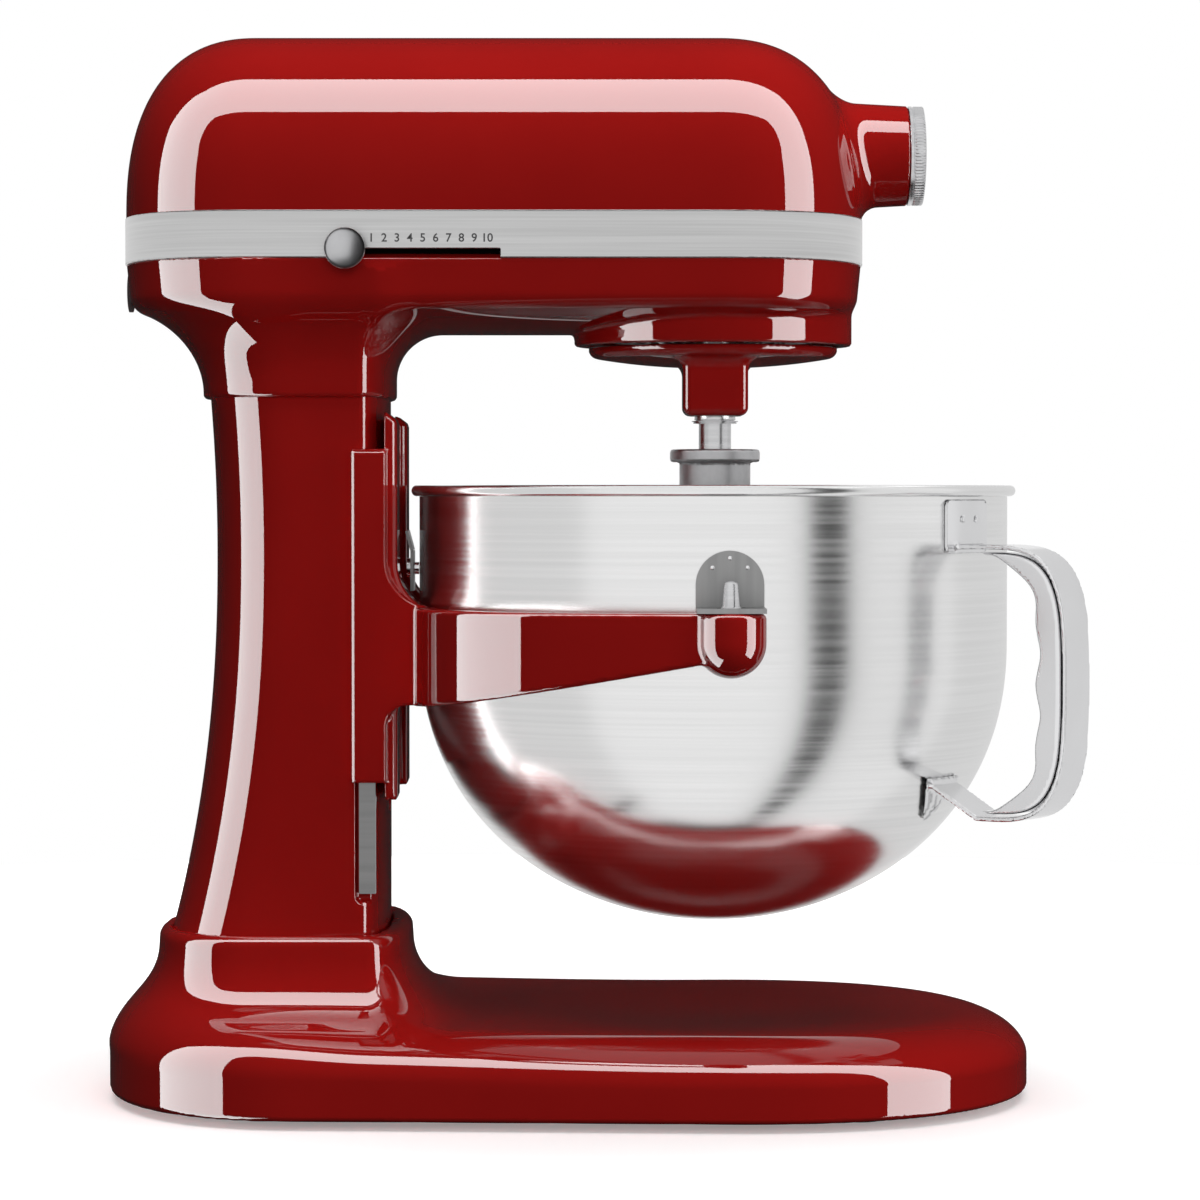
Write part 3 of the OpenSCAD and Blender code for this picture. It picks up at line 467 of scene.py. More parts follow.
def motor_housing(x, y, z):
    """The upper shell with the attachment hub and the boss of its clamp screw."""
    shell = dome(x, y, z - BAND_TOP, HEAD_REAR, HEAD_FRONT, HEAD_W, HEAD_TOP - BAND_TOP, REAR_LEN, FRONT_LEN,
                 PLAN_P, ARCH_P)
    foot = oval(x, y, HEAD_REAR, HEAD_FRONT, HEAD_W, REAR_LEN, FRONT_LEN, PLAN_P) + 0.5 * (BAND_TOP - z)
    shell = np.where(z < BAND_TOP, foot, shell)
    across = np.hypot(y, z - HUB_Z)
    hub = np.maximum(across - (HUB_R - 0.1 + HUB_TAPER * np.maximum(CAP_LO[0] - x, 0)), HUB_ROOT - x)
    hub = meet(hub, x - CAP_LO[0] + 0.1, 0.5)
    knob_boss = np.maximum(np.hypot(x - KNOB_BOSS_X, z - HUB_Z) - KNOB_BOSS_R, -y)
    knob_boss = meet(knob_boss, y - KNOB_BOSS_END, 1.0)
    body = blend(blend(shell, hub, 6.5), knob_boss, 3)
    bored = x > HUB_BORE_END
    body = np.where(bored, np.maximum(body, HUB_BORE_R - across), body)
    return np.maximum(body, HOUSING_FOOT - z)


def lower_casting(x, y, z):
    """The pan below the band with the flared neck and the boss of the planetary."""
    side = oval(x, y, HEAD_REAR + 0.2, HEAD_FRONT - 0.3, HEAD_W - 0.2, REAR_LEN, FRONT_LEN, PLAN_P)
    draft = np.where(z < BAND_Z, 0.1 * (BAND_Z - z), 3 * (z - BAND_Z))
    gauge = np.clip(1 + side / HEAD_W, 0, 1)
    underside = LOWER_LO[2] + 26 + 9.5 * gauge**2.2
    pan = meet(side + draft, underside - z, 4.5)
    neck = oval(x, y, LOWER_REAR_NECK, LOWER_FRONT_NECK, NECK_W, 38, 13, 2.4)
    neck = np.maximum(neck, z - NECK_TOP)
    body = blend(pan, neck, 18.5 + 8 * smooth_step((-105 - x) / 35))
    body = meet(body, LOWER_LO[2] - z, 1.8)
    across = np.hypot(x - DRIVE_X, y)
    boss = meet(np.maximum(across - DRIVE_BOSS_R, z - DRIVE_BOSS_TOP), DRIVE_BOSS_LOW - z, 1.2)
    body = blend(body, boss, 2.2)
    body = np.maximum(body, -np.maximum(across - DISC_BORE_R, z - DISC_BORE_TOP))
    return np.maximum(body, z - CASTING_TOP)


cast("motor_housing", motor_housing, (UPPER_LO[0], UPPER_LO[1], HOUSING_FOOT), UPPER_HI, 1.5, "stand",
     ["head_upper"], RED)
cast("lower_housing", lower_casting, LOWER_LO, (LOWER_HI[0], LOWER_HI[1], CASTING_TOP), 1.3, "stand",
     ["head_lower"], RED)


# ---------------------------------------------------------------- column
WAIST_X, WAIST_Z = -147.2, 216
FLARE_Z = 100
LIFT_SLOT_LO, LIFT_SLOT_HI = (-92, -7, 112), (-70, 7, 204)


def column_rear(z):
    """Where the column's back runs at height z: furthest forward at the waist."""
    low, high = np.maximum(WAIST_Z - z, 0), np.maximum(z - WAIST_Z, 0)
    return WAIST_X - 0.000294 * low**2.2 - 2.4 * (high / 60) ** 2


def column_shape(x, y, z):
    """The column with its flared foot, the channels of the rails and the slot of the lift."""
    flare = np.maximum(FLARE_Z - z, 0) / 55
    w = COLUMN_W + 3.5 * flare**2 * smooth_step((-88 - x) / 30)
    body = oval(x, y, column_rear(z), COLUMN_FRONT, w, 34, 9, 2.3)
    side = np.abs(y)
    clear = 70
    channel_lo = (RAIL_LO[0] - 1.2, 45.9, RAIL_LO[2] - 3)
    channel_hi = (RAIL_HI[0] + 1.6, clear, RAIL_HI[2] + 1)
    body = carve(body, block(x, side, z, channel_lo, channel_hi, 0.4), 0.5)
    gap_lo, gap_hi = (COLUMN_FRONT - 2.6, 36, YOKE_HI[2] - 20), (COLUMN_FRONT + 5, clear, YOKE_HI[2])
    body = carve(body, block(x, side, z, gap_lo, gap_hi, 0.4), 0.5)
    body = carve(body, block(x, y, z, LIFT_SLOT_LO, LIFT_SLOT_HI, 1), 0.8)
    return np.maximum(body, level(z, COLUMN_LO[2] + 0.4, COLUMN_HI[2] - 0.4))


cast("column_casting", column_shape, COLUMN_LO, COLUMN_HI, 1.9, "stand", ["column"], RED)


# ---------------------------------------------------------------- base
BASE_W, BASE_REAR_LEN, BASE_FRONT_LEN, BASE_P = 116, 80, 124, 2.2
BASE_NARROWING = 0.14
SLAB_TOP, SLAB_EDGE, SLAB_LOW = 33.5, 17, 3.1
SOCKET_REAR, SOCKET_FRONT, SOCKET_W, SOCKET_TOP = -170, -70.5, 60, 68
FILLET = 24


def base_outline(x, y, grow=0.0):
    """The slab seen from above, a little narrower at the rear than at the front."""
    span = BASE_HI[0] - BASE_LO[0]
    narrow = 1 - BASE_NARROWING * np.clip((BASE_HI[0] - x) / span, 0, 1)
    return oval(x, y / narrow, BASE_LO[0] - grow, BASE_HI[0] + grow, BASE_W + grow, BASE_REAR_LEN,
                BASE_FRONT_LEN, BASE_P)


def base_shape(x, y, z):
    """The slab with a shallow dish below the bowl and the socket that holds the column."""
    dish = np.clip(1 - (np.hypot(x - DRIVE_X, y) / 80) ** 2, 0, 1) ** 2
    top = SLAB_TOP + 2.5 * smooth_step((40 - x) / 160) - 2.6 * dish
    widened = 1 - 0.47 * smooth_step((x - SOCKET_REAR) / 90)
    slab = meet(base_outline(x, y) * widened, z - top, SLAB_EDGE)
    socket = oval(x, y, SOCKET_REAR, SOCKET_FRONT, SOCKET_W, 40, 15, 2.4) - 0.05 * (SOCKET_TOP - z)
    socket = meet(socket, z - SOCKET_TOP, 4.0)
    fillet = 1 + (FILLET - 1) * smooth_step((z - 5) / 20)
    body = meet(blend(slab, socket, fillet), SLAB_LOW - z, 2.2)
    pocket = oval(x, y, -165.2, COLUMN_FRONT + 0.4, 53.4, 34, 10, 2.3)
    body = carve(body, np.maximum(pocket, 47 - z), 1.2)
    hollow = np.maximum(base_outline(x, y, -11), z - 24)
    return np.maximum(body, -hollow)


cast("base_casting", base_shape, BASE_LO, BASE_HI, 2.2, "stand", ["base"], RED)


# ---------------------------------------------------------------- trim band, scale and speed control
def band_outline(x, y, grow):
    return oval(x, y, BAND_LO[0] - grow, BAND_HI[0] + grow, BAND_HI[1] + grow, REAR_LEN + grow,
                FRONT_LEN + grow, PLAN_P)


def trim_strip(x, y, z):
    """The band, 2 mm thick, with the slot of the speed slide open at its lower edge."""
    outer = meet(band_outline(x, y, 0), level(z, BAND_Z + 0.1, BAND_TOP - 0.1), 0.5)
    shell = np.maximum(outer, -band_outline(x, y, -2))
    slot = block(x, y, z, (LINER_LO[0] + 4, -90, BAND_Z - 5), (LINER_HI[0] - 4, 0, BAND_Z + 3.7), 0.1)
    return np.maximum(shell, -slot)


def make_scale():
    """The figures 1 to 10 above the slot, one for each stop of the speed slide."""
    travel = joint("speed_slide")["range_m"][1] * MM
    first = (KNOB_LO[0] + KNOB_HI[0]) / 2
    for stop in range(1, 11):
        curve = bpy.data.curves.new(f"figure_{stop}", "FONT")
        curve.body = str(stop)
        curve.size = 4.5 / MM
        curve.offset = 0.07 / MM
        curve.extrude = 0.04 / MM
        curve.align_x, curve.align_y = "CENTER", "CENTER"
        holder = bpy.data.objects.new(curve.name, curve)
        bpy.context.scene.collection.objects.link(holder)
        holder.location = np.array([first + travel * (stop + 1) / 11, BAND_LO[1] - 0.02, BAND_Z + 7.6]) / MM
        holder.rotation_euler = (math.pi / 2, 0, 0)
        settle(holder, "stand", [], INK)


def speed_dial():
    """A domed disc on a short stem."""
    face = KNOB_LO[1]
    r = (KNOB_HI[0] - KNOB_LO[0]) / 2
    stem_r = 4
    rows = [(0.01, face)]
    rows += [(r * t, face + 1.5 * t**2) for t in np.linspace(0.1, 0.93, 10)]
    rows += [(r - 0.6 + 0.6 * math.sin(a), face + 2.0 - 0.6 * math.cos(a)) for a in np.linspace(0.5, 1.57, 5)]
    rows += [(r, face + 3.4), (r - 0.5, face + 4.4), (stem_r, face + 4.7), (stem_r, KNOB_HI[1]),
             (0.01, KNOB_HI[1])]
    centre = ((KNOB_LO[2] + KNOB_HI[2]) / 2, (KNOB_LO[0] + KNOB_HI[0]) / 2)
    return crease(add_mesh("speed_dial", *lathe(rows, 96, centre, "y")), 40)


# ---------------------------------------------------------------- hub cap
def knurled_cap():
    """The hub's cap: a plain ring, a knurled rim and a slightly domed face."""
    r, ribs, rib_depth = HUB_R, 90, 0.35
    length = CAP_HI[0] - CAP_LO[0]
    rows = [(r - 1.7, 0, 0), (r - 0.3, 0, 0), (r - 0.1, 0.2, 0), (r - 0.1, 1.3, 0), (r - 0.5, 1.5, 0),
            (r - 0.5, 1.8, 0), (r - 0.2, 2.0, 1), (r - 0.2, length - 1.5, 1), (r - 0.5, length - 1.1, 0)]
    rows += [((r - 0.6) * math.sin(a), length - 1.3 + 1.3 * math.cos(a), 0)
             for a in np.linspace(1.4, 0.02, 12)]
    points = []
    steps = ribs * 4
    for radius, along, knurl in rows:
        for i in range(steps):
            a = 2 * math.pi * i / steps
            rib = radius - rib_depth * knurl * (i % 4 in (2, 3))
            points.append((CAP_LO[0] + along, rib * math.cos(a), HUB_Z + rib * math.sin(a)))
    return crease(add_mesh("knurled_cap", points, tube_faces(len(rows), steps)), 35)


# ---------------------------------------------------------------- planetary
def planetary_shape(x, y, z):
    """A disc with a bulging underside and the square spindle housing below it."""
    d = np.hypot(x - DRIVE_X, y)
    disc_r, disc_top = DISC_HI[0] - DRIVE_X - 0.1, LOWER_LO[2] + 20.7
    underside = DISC_LO[2] + 19.7 + 4.3 * (d / 50) ** 2.2
    disc = meet(meet(d - disc_r, z - disc_top, 0.8), underside - z, 3.2)
    half = 12.7
    spindle = block(x - DRIVE_X, y - SPINDLE_Y, z, (-half, -half, DISC_LO[2]), (half, half, 294), 3.2)
    return blend(disc, spindle, 5)


# ---------------------------------------------------------------- yoke
def segment(u, v, a, b):
    """Distance of (u, v) from the stretch from a to b."""
    a, b = np.array(a, float), np.array(b, float)
    run = b - a
    t = np.clip(((u - a[0]) * run[0] + (v - a[1]) * run[1]) / (run @ run), 0, 1)
    return np.hypot(u - a[0] - t * run[0], v - a[1] - t * run[1])


def yoke(x, y, z):
    """Two side plates and a web round the column's front, with two curved arms that end in the pods."""
    side = np.abs(y)
    bottom, top = YOKE_LO[2], YOKE_HI[2]
    inner, outer = COLUMN_W + 0.4, YOKE_W
    far_rear, arm_mid, low_root = YOKE_LO[0] - 60, ARM_TOP - 18, ARM_TOP - 38
    strip = np.maximum(level(z, bottom + 7, top - 16), level(x, far_rear, YOKE_WEB))
    bar = np.maximum(level(z, low_root, ARM_TOP), level(x, far_rear, ARM_ROOT + 3))
    plate = np.where(z > arm_mid, blend(strip, bar, 18), blend(strip, bar, 8))
    plate = meet(meet(plate, YOKE_LO[0] - x, 0.3), level(side, inner, outer), 1.2)
    plate = meet(plate, ((YOKE_LO[0] + 1.2 - x) + (side - outer)) / 1.41, 0.3)
    corner = ((z - (top - 17.6)) + (side - outer)) / 1.41
    plate = meet(plate, corner, 0.5)
    web = np.maximum(level(z, bottom, top), level(x, far_rear, YOKE_WEB + 4))
    swell = np.maximum(level(z, ARM_TOP - 34, ARM_TOP - 3), level(x, far_rear, YOKE_WEB + 8))
    web = np.where(z > arm_mid, blend(web, swell, 20), blend(web, swell, 8))
    web = meet(web, ((z - top + 2.4) * 1.3 + (x - YOKE_WEB - 0.6)) / 1.64, 0.8)
    web = meet(web, level(side, 28, inner + 0.3), 3)
    web = np.minimum(web, np.maximum(level(z, bottom, top - 4), np.maximum(x - YOKE_WEB - 0.8, side - inner)))
    web = np.maximum(web, COLUMN_FRONT + 0.5 - x)
    body = blend(plate, web, 1.0)
    reach, spread = ARM_END - ARM_ROOT, ARM_SIDE - COLUMN_W
    u = np.maximum(ARM_END - x, 0) / reach
    v = np.maximum(side - COLUMN_W, 0) / spread
    g = np.maximum((u**ARM_P + v**ARM_P) ** (1 / ARM_P), 1e-6)
    slope = np.hypot((u / g) ** (ARM_P - 1) / reach, (v / g) ** (ARM_P - 1) / spread)
    along = np.clip((x - ARM_ROOT) / reach, 0, 1)
    curve = (g - 1) / np.maximum(slope, 1e-9)
    arm = np.maximum(curve, -curve - ARM_THICK + 1.2 * along)
    arm = np.maximum(arm, np.maximum(x - ARM_END - 4, inner - side))
    arm = meet(arm, level(z, low_root + 20 * along, ARM_TOP), 1.6)
    body = blend(body, arm, 1.6)
    pod = np.sqrt((x - POD_X) ** 2 + (side - POD_Y) ** 2 + np.minimum(z - ARM_TOP + 11, 0) ** 2) - POD_R
    pod = meet(pod, z - ARM_TOP, 2.2)
    return blend(body, pod, 1.6)


def make_pins():
    """A shouldered pin with a round end on each pod."""
    points, faces = [], []
    for y in (PIN_LO[1] + 4.6, PIN_HI[1] - 4.6):
        rows = [(3.3, ARM_TOP - 4), (4.5, ARM_TOP), (4.5, ARM_TOP + 1.2), (3.3, ARM_TOP + 2.6)]
        rows += [(2.6 * math.cos(a), PIN_HI[2] - 1.6 + 1.5 * math.sin(a)) for a in np.linspace(0, 1.55, 6)]
        more, quads = lathe(rows, 48, (POD_X, y))
        faces += [tuple(i + len(points) for i in quad) for quad in quads]
        points += more
    return crease(add_mesh("pins", points, faces), 40)


# ---------------------------------------------------------------- bowl, brackets and handle
def bowl_radius(z, wall=0.0):
    """Radius of the bowl's wall at height z."""
    depth = BOWL_TURN - BOWL_BOTTOM - wall
    v = np.clip((BOWL_TURN - z) / depth, 0, 1)
    return (BOWL_R - wall) * np.sqrt(1 - v**BOWL_P)


def bowl_curve(r, depth, angles):
    """The bowl's rounded part in section, from the bottom at angle 0 to the straight wall."""
    return [(max(r * math.sqrt(1 - math.cos(a) ** BOWL_P), 0.02), BOWL_TURN - depth * math.cos(a))
            for a in angles]


def make_bowl():
    """The bowl as one skin, outside, round the rolled rim and back down the inside."""
    depth = BOWL_TURN - BOWL_BOTTOM
    outside = bowl_curve(BOWL_R, depth, np.linspace(0, math.pi / 2, 60))
    inside = bowl_curve(BOWL_R - BOWL_WALL, depth - BOWL_WALL, np.linspace(math.pi / 2, 0, 48))
    rim_r = 2.2
    lip = RIM_TOP - rim_r
    outside += [(BOWL_R, BOWL_TURN + (lip - 2 - BOWL_TURN) * t) for t in (0.33, 0.66, 1.0)]
    rim = [(BOWL_R + 1 + rim_r * math.cos(a), lip + rim_r * math.sin(a)) for a in np.linspace(-1.95, 3.5, 22)]
    inside = [(BOWL_R - BOWL_WALL, BOWL_TURN + (lip - BOWL_TURN) * t) for t in (0.97, 0.66, 0.33)] + inside
    return crease(add_mesh("bowl_shell", *lathe(outside + rim + inside, 192, (BOWL_X, 0))), 60)


def handle_frame(x, y):
    """Distance out from the bowl's axis along the handle, and sideways from its middle."""
    c, s = math.cos(HANDLE_TURN), math.sin(HANDLE_TURN)
    return (x - BOWL_X) * c + y * s, y * c - (x - BOWL_X) * s


def grip_loop(u, z):
    """Distance from the handle's outline, seen from its side."""
    return oval(u, z - GRIP_MID, -500, GRIP_OUT - 0.9, GRIP_HALF, 10, GRIP_OUT - 131, 3.4)


def strap(x, y, z):
    """The handle's steel strap with the plates by which it is welded to the bowl."""
    u, v = handle_frame(x, y)
    rho = np.hypot(x - BOWL_X, y)
    loop = np.abs(grip_loop(u, z)) - STRAP_HALF
    loop = np.maximum(loop, np.where(z > GRIP_MID, FLAP_U, LEG_TOP[0]) - u)
    leg = segment(u, z, LEG_TOP, LEG_FOOT) - STRAP_HALF
    band = meet(np.minimum(loop, leg), np.abs(v) - STRAP_W, 0.6)
    flap = block(u, v, z, (80, -WELD_W, FLAP_LOW), (140, WELD_W, FLAP_TOP), 3)
    flap = np.maximum(np.abs(rho - BOWL_R - 0.9) - WELD_HALF, flap)
    foot = block(u, v, z, (70, -WELD_W, FOOT_LOW), (140, WELD_W, FOOT_TOP), 4)
    foot = np.maximum(np.abs((rho - bowl_radius(z) - 1.0) * 0.85) - WELD_HALF, foot)
    body = blend(blend(band, flap, 1.5), foot, 1.5)
    for spot in (-5, 5):
        for place in ((BOWL_R + 1.9, 229), (99.3, 118)):
            dimple = np.sqrt((u - place[0]) ** 2 + (v - spot) ** 2 + (z - place[1]) ** 2) - 1.3
            body = carve(body, dimple, 0.2)
    return body


def grip(x, y, z):
    """The plate inside the handle's loop, with a wavy edge for the fingers."""
    u, v = handle_frame(x, y)
    d = grip_loop(u, z)
    finger = 23
    depth = 2.2 + 10 * smooth_step((u - 131) / 22) + np.cos((z - GRIP_MID) * 2 * math.pi / finger)
    plate = meet(d + 2.0, -(d + depth), 0.9)
    return meet(np.maximum(plate, 129 - u), np.abs(v) - 8.6, 1.6)


def weld_marks(x, y, z):
    """Weld marks on the bowl's side plates."""
    side = np.abs(y)
    body = np.full(x.shape, 50.0)
    for across, up in ((-6.5, 16.5), (6.5, 16.5), (0, 20)):
        depth = 1.8 * (side - PLATE_Y)
        body = np.minimum(body, np.sqrt((x - POD_X - across) ** 2 + (z - ARM_TOP - up) ** 2 + depth**2) - 0.9)
    return body


def washer_stack():
    """Two washers and a retaining ring below the spindle."""
    top = DISC_LO[2]
    rows = [(6.5, 0), (8.0, 0.1), (8.1, 1.5), (7.4, 1.7), (7.4, 1.8), (9.1, 1.9), (9.1, 2.3), (8.0, 2.35),
            (8.5, 2.5), (8.5, 2.95), (6.5, 3.0)]
    profile = [(r, top - drop) for r, drop in rows]
    return crease(add_mesh("washer_stack", *lathe(profile, 96, (DRIVE_X, SPINDLE_Y))), 35)


# ---------------------------------------------------------------- beater
BLADE_W, BLADE_TURN, BLADE_TOP, BLADE_HALF = 58, 180, 217.6, 3.3
FRAME_W, STEM_HALF, BAR_HALF = 10.5, 5.5, 4.6
COLLAR_R, FLANGE_R, SHAFT_BORE_R = 13.9, 17.6, 6.55


def beater_half(z):
    """Half the blade's width at height z: it follows the bowl below and a round shoulder above."""
    inner = bowl_radius(z - 5, BOWL_WALL) + SPINDLE_Y - 5
    top = 15 + (BLADE_W - 15) * np.sqrt(np.clip(1 - np.clip((z - BLADE_TURN) / 38, 0, 1) ** 2.4, 0, 1))
    return np.where(z < BLADE_TURN, np.minimum(BLADE_W, inner), top)


def flat_blade(x, y, z):
    """A flat frame with a stem and two slanting bars, below a collar that fits the shaft."""
    u, v = x - DRIVE_X, y - SPINDLE_Y
    across = np.abs(u)
    edge = (across - beater_half(z)) * 0.75
    outline = meet(edge, level(z, BEATER_LO[2] + 0.3, BLADE_TOP), 4)
    ring = np.maximum(outline, -(outline + FRAME_W))
    stem = np.maximum(across - STEM_HALF, level(z, BEATER_LO[2] + 4, 214))
    bars = segment(across, z, (0, 156), (48, 128)) - BAR_HALF
    web = np.maximum(blend(blend(ring, stem, 5), bars, 4), outline)
    blade = meet(web, np.abs(v) - BLADE_HALF, 1.8)
    r = np.hypot(u, v)
    collar = np.maximum(r - COLLAR_R, level(z, 205, BEATER_HI[2] - 4))
    flange = meet(r - FLANGE_R, level(z, BEATER_HI[2] - 5, BEATER_HI[2]), 1.1)
    body = blend(blend(collar, blade, 3), flange, 0.7)
    bore = np.maximum(r - SHAFT_BORE_R, 226 - z)
    slot = block(u, v, z, (-11.4, -2.5, 244), (11.4, 2.5, 300), 0.3)
    return np.maximum(np.maximum(body, -bore), -slot)


cast("trim_strip", trim_strip, BAND_LO, BAND_HI, 0.8, "stand", ["trim_band"], BRUSHED)
make_scale()
settle(speed_dial(), "speed_control", ["speed_knob"], DIAL)
settle(knurled_cap(), "hub_cover", ["hub_cap"], TURNED)
cast("planet_disc", planetary_shape, DISC_LO, (DISC_HI[0], DISC_HI[1], DISC_LO[2] + 28), 1.3, "planetary",
     ["planetary"], RED)
cast("yoke", yoke, YOKE_LO, YOKE_HI, 1.4, "carriage", ["bowl_support"], RED)
settle(make_pins(), "carriage", ["locating_pins"], TURNED)
settle(make_bowl(), "carriage", ["bowl"], BOWL_STEEL)
cast("handle_strap", strap, HANDLE_LO, HANDLE_HI, 1.0, "carriage", ["bowl_handle"], POLISHED)
cast("handle_grip", grip, HANDLE_LO, HANDLE_HI, 1.0, "carriage", [], POLISHED)
for side in (-1, 1):
    lo = (POD_X - 9, side * PLATE_Y - 1.2, ARM_TOP + 14)
    hi = (POD_X + 9, side * PLATE_Y + 1.2, ARM_TOP + 23)
    name = "weld_marks_left" if side > 0 else "weld_marks_right"
    cast(name, weld_marks, lo, hi, 0.4, "carriage", [], POLISHED)
settle(washer_stack(), "beater", ["shaft_washer"], SHAFT)
cast("flat_blade", flat_blade, BEATER_LO, BEATER_HI, 1.3, "beater", ["flat_beater"], CAST)


# ---------------------------------------------------------------- finishes for the CAD nodes that are shown
FINISHES = {
    RUBBER: ["feet", "cord_gland"],
    RECESS: ["slot_liner"],
    PLASTIC: ["cooling_fan", "carbon_brushes", "attachment_knob", "lever_grip"],
    SCREW: ["base_screws", "neck_screws", "head_screws"],
    RAIL: ["guide_rails"],
    PLATE_STEEL: ["bowl_brackets", "latch_spring"],
    POLISHED: ["lift_lever", "latch_rivet"],
    CAST: ["front_bracket", "rear_bracket", "gear_plate", "lift_bracket", "speed_lever"],
    GEAR: ["ring_gear", "centre_gear", "bevel_gear", "planet_pinion", "idler_pinion", "worm", "hub_pinion"],
    SHAFT: ["centre_shaft", "beater_shaft", "beater_pin", "idler_shaft", "armature_shaft", "hub_shaft",
            "lift_crank"],
    BRONZE: ["hub_bushing", "centre_bearing", "idler_bush", "lever_bush", "worm_wheel", "brush_holders"],
    COPPER: ["field_coils", "commutator"],
    IRON: ["motor_field", "armature_core"],
    BOARD: ["speed_board"],
}
for material, names in FINISHES.items():
    for name in names:
        mesh = frame["nodes"][name].data
        mesh.materials.clear()
        mesh.materials.append(material)


# ---------------------------------------------------------------- stage, lights and camera
WORLD = 0.02
ENAMEL_LIGHT = 10.4
BAND_LIGHT = 1.0


def plain_stage(name, points, faces, near=None):
    """A pale sheet that the camera sees and that stays out of the gloss of the object.

    With near, it is a floor lit by the lamps that also glows with painted light, a quarter as strong near the
    middle and full strength towards that distance and beyond; without, it glows white all over."""
    sheet = add_mesh(name, points, faces)
    material, nodes, links, shader = new_material(name)
    pale = 0.90 if near else 0.0
    shader.inputs["Base Color"].default_value = (pale, pale, pale, 1)
    shader.inputs["Roughness"].default_value = 0.8
    shader.inputs["Specular IOR Level"].default_value = 0.0
    shader.inputs["Emission Color"].default_value = (1, 1, 1, 1)
    shader.inputs["Emission Strength"].default_value = 1.0
    if near:
        coords = nodes.new("ShaderNodeTexCoord")
        ball = nodes.new("ShaderNodeTexGradient")
        ball.gradient_type = "SPHERICAL"
        mapping = nodes.new("ShaderNodeMapping")
        mapping.inputs["Scale"].default_value = (1 / near, 1 / near, 1 / near)
        links.new(coords.outputs["Object"], mapping.inputs["Vector"])
        links.new(mapping.outputs["Vector"], ball.inputs["Vector"])
        # Painted light: the floor glows a quarter as strong near the object as far out, standing in for the
        # lamps' light on the floor.
        glow = ramp(nodes, links, ball.outputs["Fac"], 1.0, 0.25, 0.1, 0.8)
        links.new(glow, shader.inputs["Emission Strength"])
    sheet.data.materials.append(material)
    sheet.visible_glossy = False
    sheet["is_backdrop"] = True
    return sheet


def make_stage():
    """A round floor inside a closed white drum."""
    floor_r, wall_r, sides = 1000, 6000, 48
    ring = [(math.cos(a), math.sin(a)) for a in np.linspace(0, 2 * math.pi, sides, endpoint=False)]
    disc = [(floor_r * x, floor_r * y, 0) for x, y in ring]
    floor = plain_stage("floor", disc, [tuple(range(sides))], 0.75)
    drum = [(wall_r * x, wall_r * y, z) for z in (-20, 5000) for x, y in ring]
    faces = tube_faces(2, sides) + [tuple(range(sides, 2 * sides)), tuple(range(sides))]
    backdrop = plain_stage("backdrop", drum, faces)
    for sheet in (floor, backdrop):
        sheet.visible_diffuse = sheet.visible_shadow = False
    world = bpy.data.worlds.new("studio")
    world.use_nodes = True
    world.node_tree.nodes["Background"].inputs["Color"].default_value = (1, 1, 1, 1)
    world.node_tree.nodes["Background"].inputs["Strength"].default_value = WORLD
    bpy.context.scene.world = world


def softbox(name, place, target, size, radiance, diffuse=True, glossy=True, only=None):
    """A soft rectangular light of that radiance, for all pieces or only for some."""
    light = bpy.data.lights.new(name, "AREA")
    light.shape = "RECTANGLE"
    light.size, light.size_y = size
    light.energy = radiance * math.pi * size[0] * size[1]
    lamp = bpy.data.objects.new(name, light)
    lamp.location = place
    lamp.rotation_euler = (Vector(target) - Vector(place)).to_track_quat("-Z", "Y").to_euler()
    lamp.visible_diffuse, lamp.visible_glossy, lamp.visible_camera = diffuse, glossy, False
    bpy.context.scene.collection.objects.link(lamp)
    if only:
        lamp.light_linking.receiver_collection = only


def receivers(name):
    """A collection of the pieces that a light shines on."""
    collection = bpy.data.collections.new(name)
    bpy.context.scene.collection.children.link(collection)
    return collection


def light_arch(painted):
    """One wide strip of light from the left, over the top and down on the right, for the gloss of the enamel.

    A point of its path is x, z and how far along it lies: 0 on the left, 1 at the top, 2 on the right."""
    half, top, foot, r = 1150, 1350, -700, 420
    bend = np.linspace(0, math.pi / 2, 10)
    path = [(-0.5 * half, foot - r, 0.0)]
    path += [(-half + r - r * math.sin(a), foot - r * math.cos(a), 0.0) for a in bend]
    path.append((-half, top - r, 0.0))
    path += [(-half + r - r * math.cos(a), top - r + r * math.sin(a), a / bend[-1]) for a in bend]
    path += [(half - r + r * math.sin(a), top - r + r * math.cos(a), 1 + a / bend[-1]) for a in bend]
    path.append((half, foot, 2.0))
    points = []
    for x, z, along in path:
        near = np.interp(along, (0, 1, 2), (-960, -795, -1000))
        far = np.interp(along, (0, 1, 2), (60, -155, -220))
        points += [(x, near, z), (x, far, z)]
    faces = [(2 * k, 2 * k + 1, 2 * k + 3, 2 * k + 2) for k in range(len(path) - 1)]
    strip = plain_stage("light_arch", points, faces)
    shader = strip.active_material.node_tree.nodes["Principled BSDF"]
    shader.inputs["Emission Strength"].default_value = ENAMEL_LIGHT
    strip.visible_camera = strip.visible_diffuse = strip.visible_shadow = False
    strip.visible_glossy = True
    strip.light_linking.receiver_collection = painted


def steel_wall(name, start, end, radiance, steel):
    """An upright panel between two points in plan, inside the arch: its ends make a reflection's edges."""
    (x0, y0), (x1, y1) = start, end
    height, middle_z = 3.4, -0.55
    middle = ((x0 + x1) / 2, (y0 + y1) / 2, middle_z)
    inward = (middle[0] - (y1 - y0), middle[1] + (x1 - x0), middle_z)
    softbox(name, middle, inward, (math.hypot(x1 - x0, y1 - y0), height), radiance, False, True, steel)


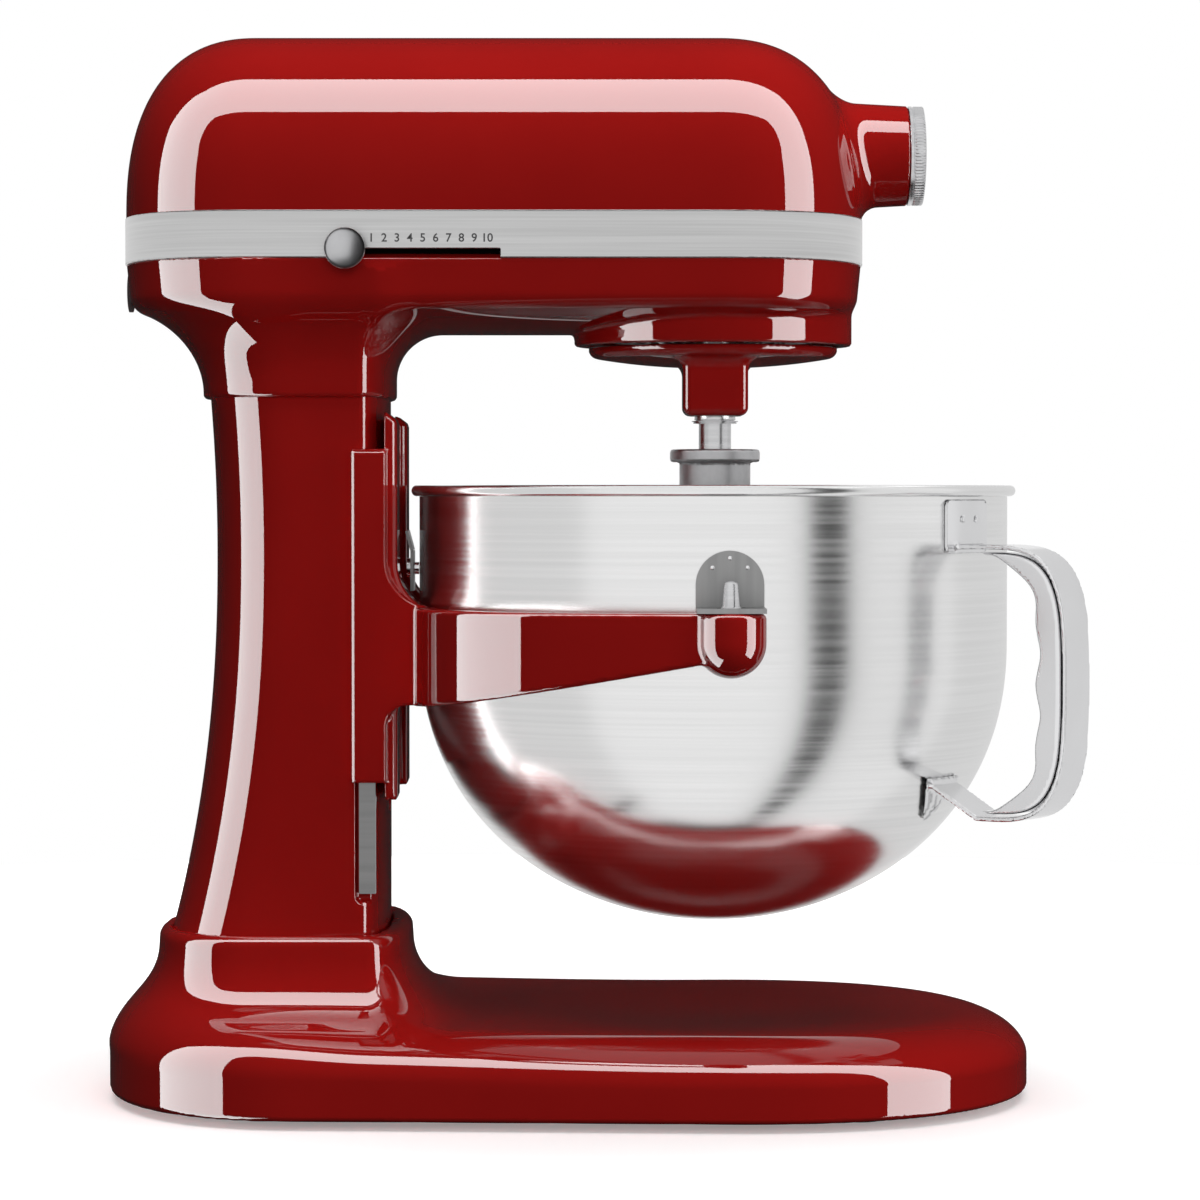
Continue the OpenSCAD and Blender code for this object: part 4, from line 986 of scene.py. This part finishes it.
def steel_walls(steel):
    """Panels round the object for the steel, with a gap in front on the right for the bowl's dark band."""
    left, front_left, gap_left = (-0.80, 0.184), (-0.62, -0.60), (0.435, -0.600)
    gap_right, right, back_right, back_left = (0.585, -0.495), (0.80, 0.10), (0.35, 0.85), (-0.35, 0.85)
    steel_wall("steel_left", left, front_left, 0.78, steel)
    steel_wall("steel_front", front_left, gap_left, 0.95, steel)
    steel_wall("steel_right", gap_right, right, 0.9, steel)
    steel_wall("steel_behind_right", right, back_right, 0.75, steel)
    steel_wall("steel_back", back_right, back_left, 0.9, steel)
    steel_wall("steel_behind_left", back_left, left, 0.4, steel)


def make_camera():
    """A long lens a little above the middle of the object, tipped slightly down."""
    camera = bpy.data.cameras.new("camera")
    camera.sensor_width = 36
    camera.lens = 116.4
    holder = bpy.data.objects.new("camera", camera)
    holder.location = (0.005, -1.55, 0.240)
    holder.rotation_euler = (math.radians(90 - 1.62), 0, 0)
    bpy.context.scene.collection.objects.link(holder)
    bpy.context.scene.camera = holder


make_stage()
steel, painted, brushed, spun = [receivers(name) for name in ("steel", "painted", "brushed", "spun")]
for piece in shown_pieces():
    {RED: painted, BRUSHED: brushed, DIAL: spun}.get(piece.active_material, steel).objects.link(piece)
light_arch(painted)
for name, x, y in (("front", 0, -1.1), ("left", -1.1, 0), ("right", 1.1, 0), ("back", 0, 1.1)):
    softbox(f"band_{name}", (x, y, 0.35), (0, 0, 0.35), (2.2, 1.8), BAND_LIGHT, False, True, brushed)
softbox("overhead", (0, -0.1, 2.0), (0, 0, 0), (2.4, 2.0), 2.7, True, False)
softbox("front", (0, -2.6, 0.9), (0, 0, 0.2), (2.6, 1.8), 2.0, True, False)
softbox("side", (2.4, -0.6, 0.7), (0, 0, 0.2), (1.8, 1.6), 2.7, True, False)
steel_walls(steel)
softbox("steel_top", (0, 0.12, 1.2), (0, 0.12, 0), (1.6, 1.45), 0.9, False, True, steel)
softbox("dial_left", (-1.0, -1.4, 0.7), (-0.09, -0.07, 0.33), (3.4, 2.4), 1.15, False, True, spun)
make_camera()
bpy.context.scene.view_settings.view_transform = "Standard"
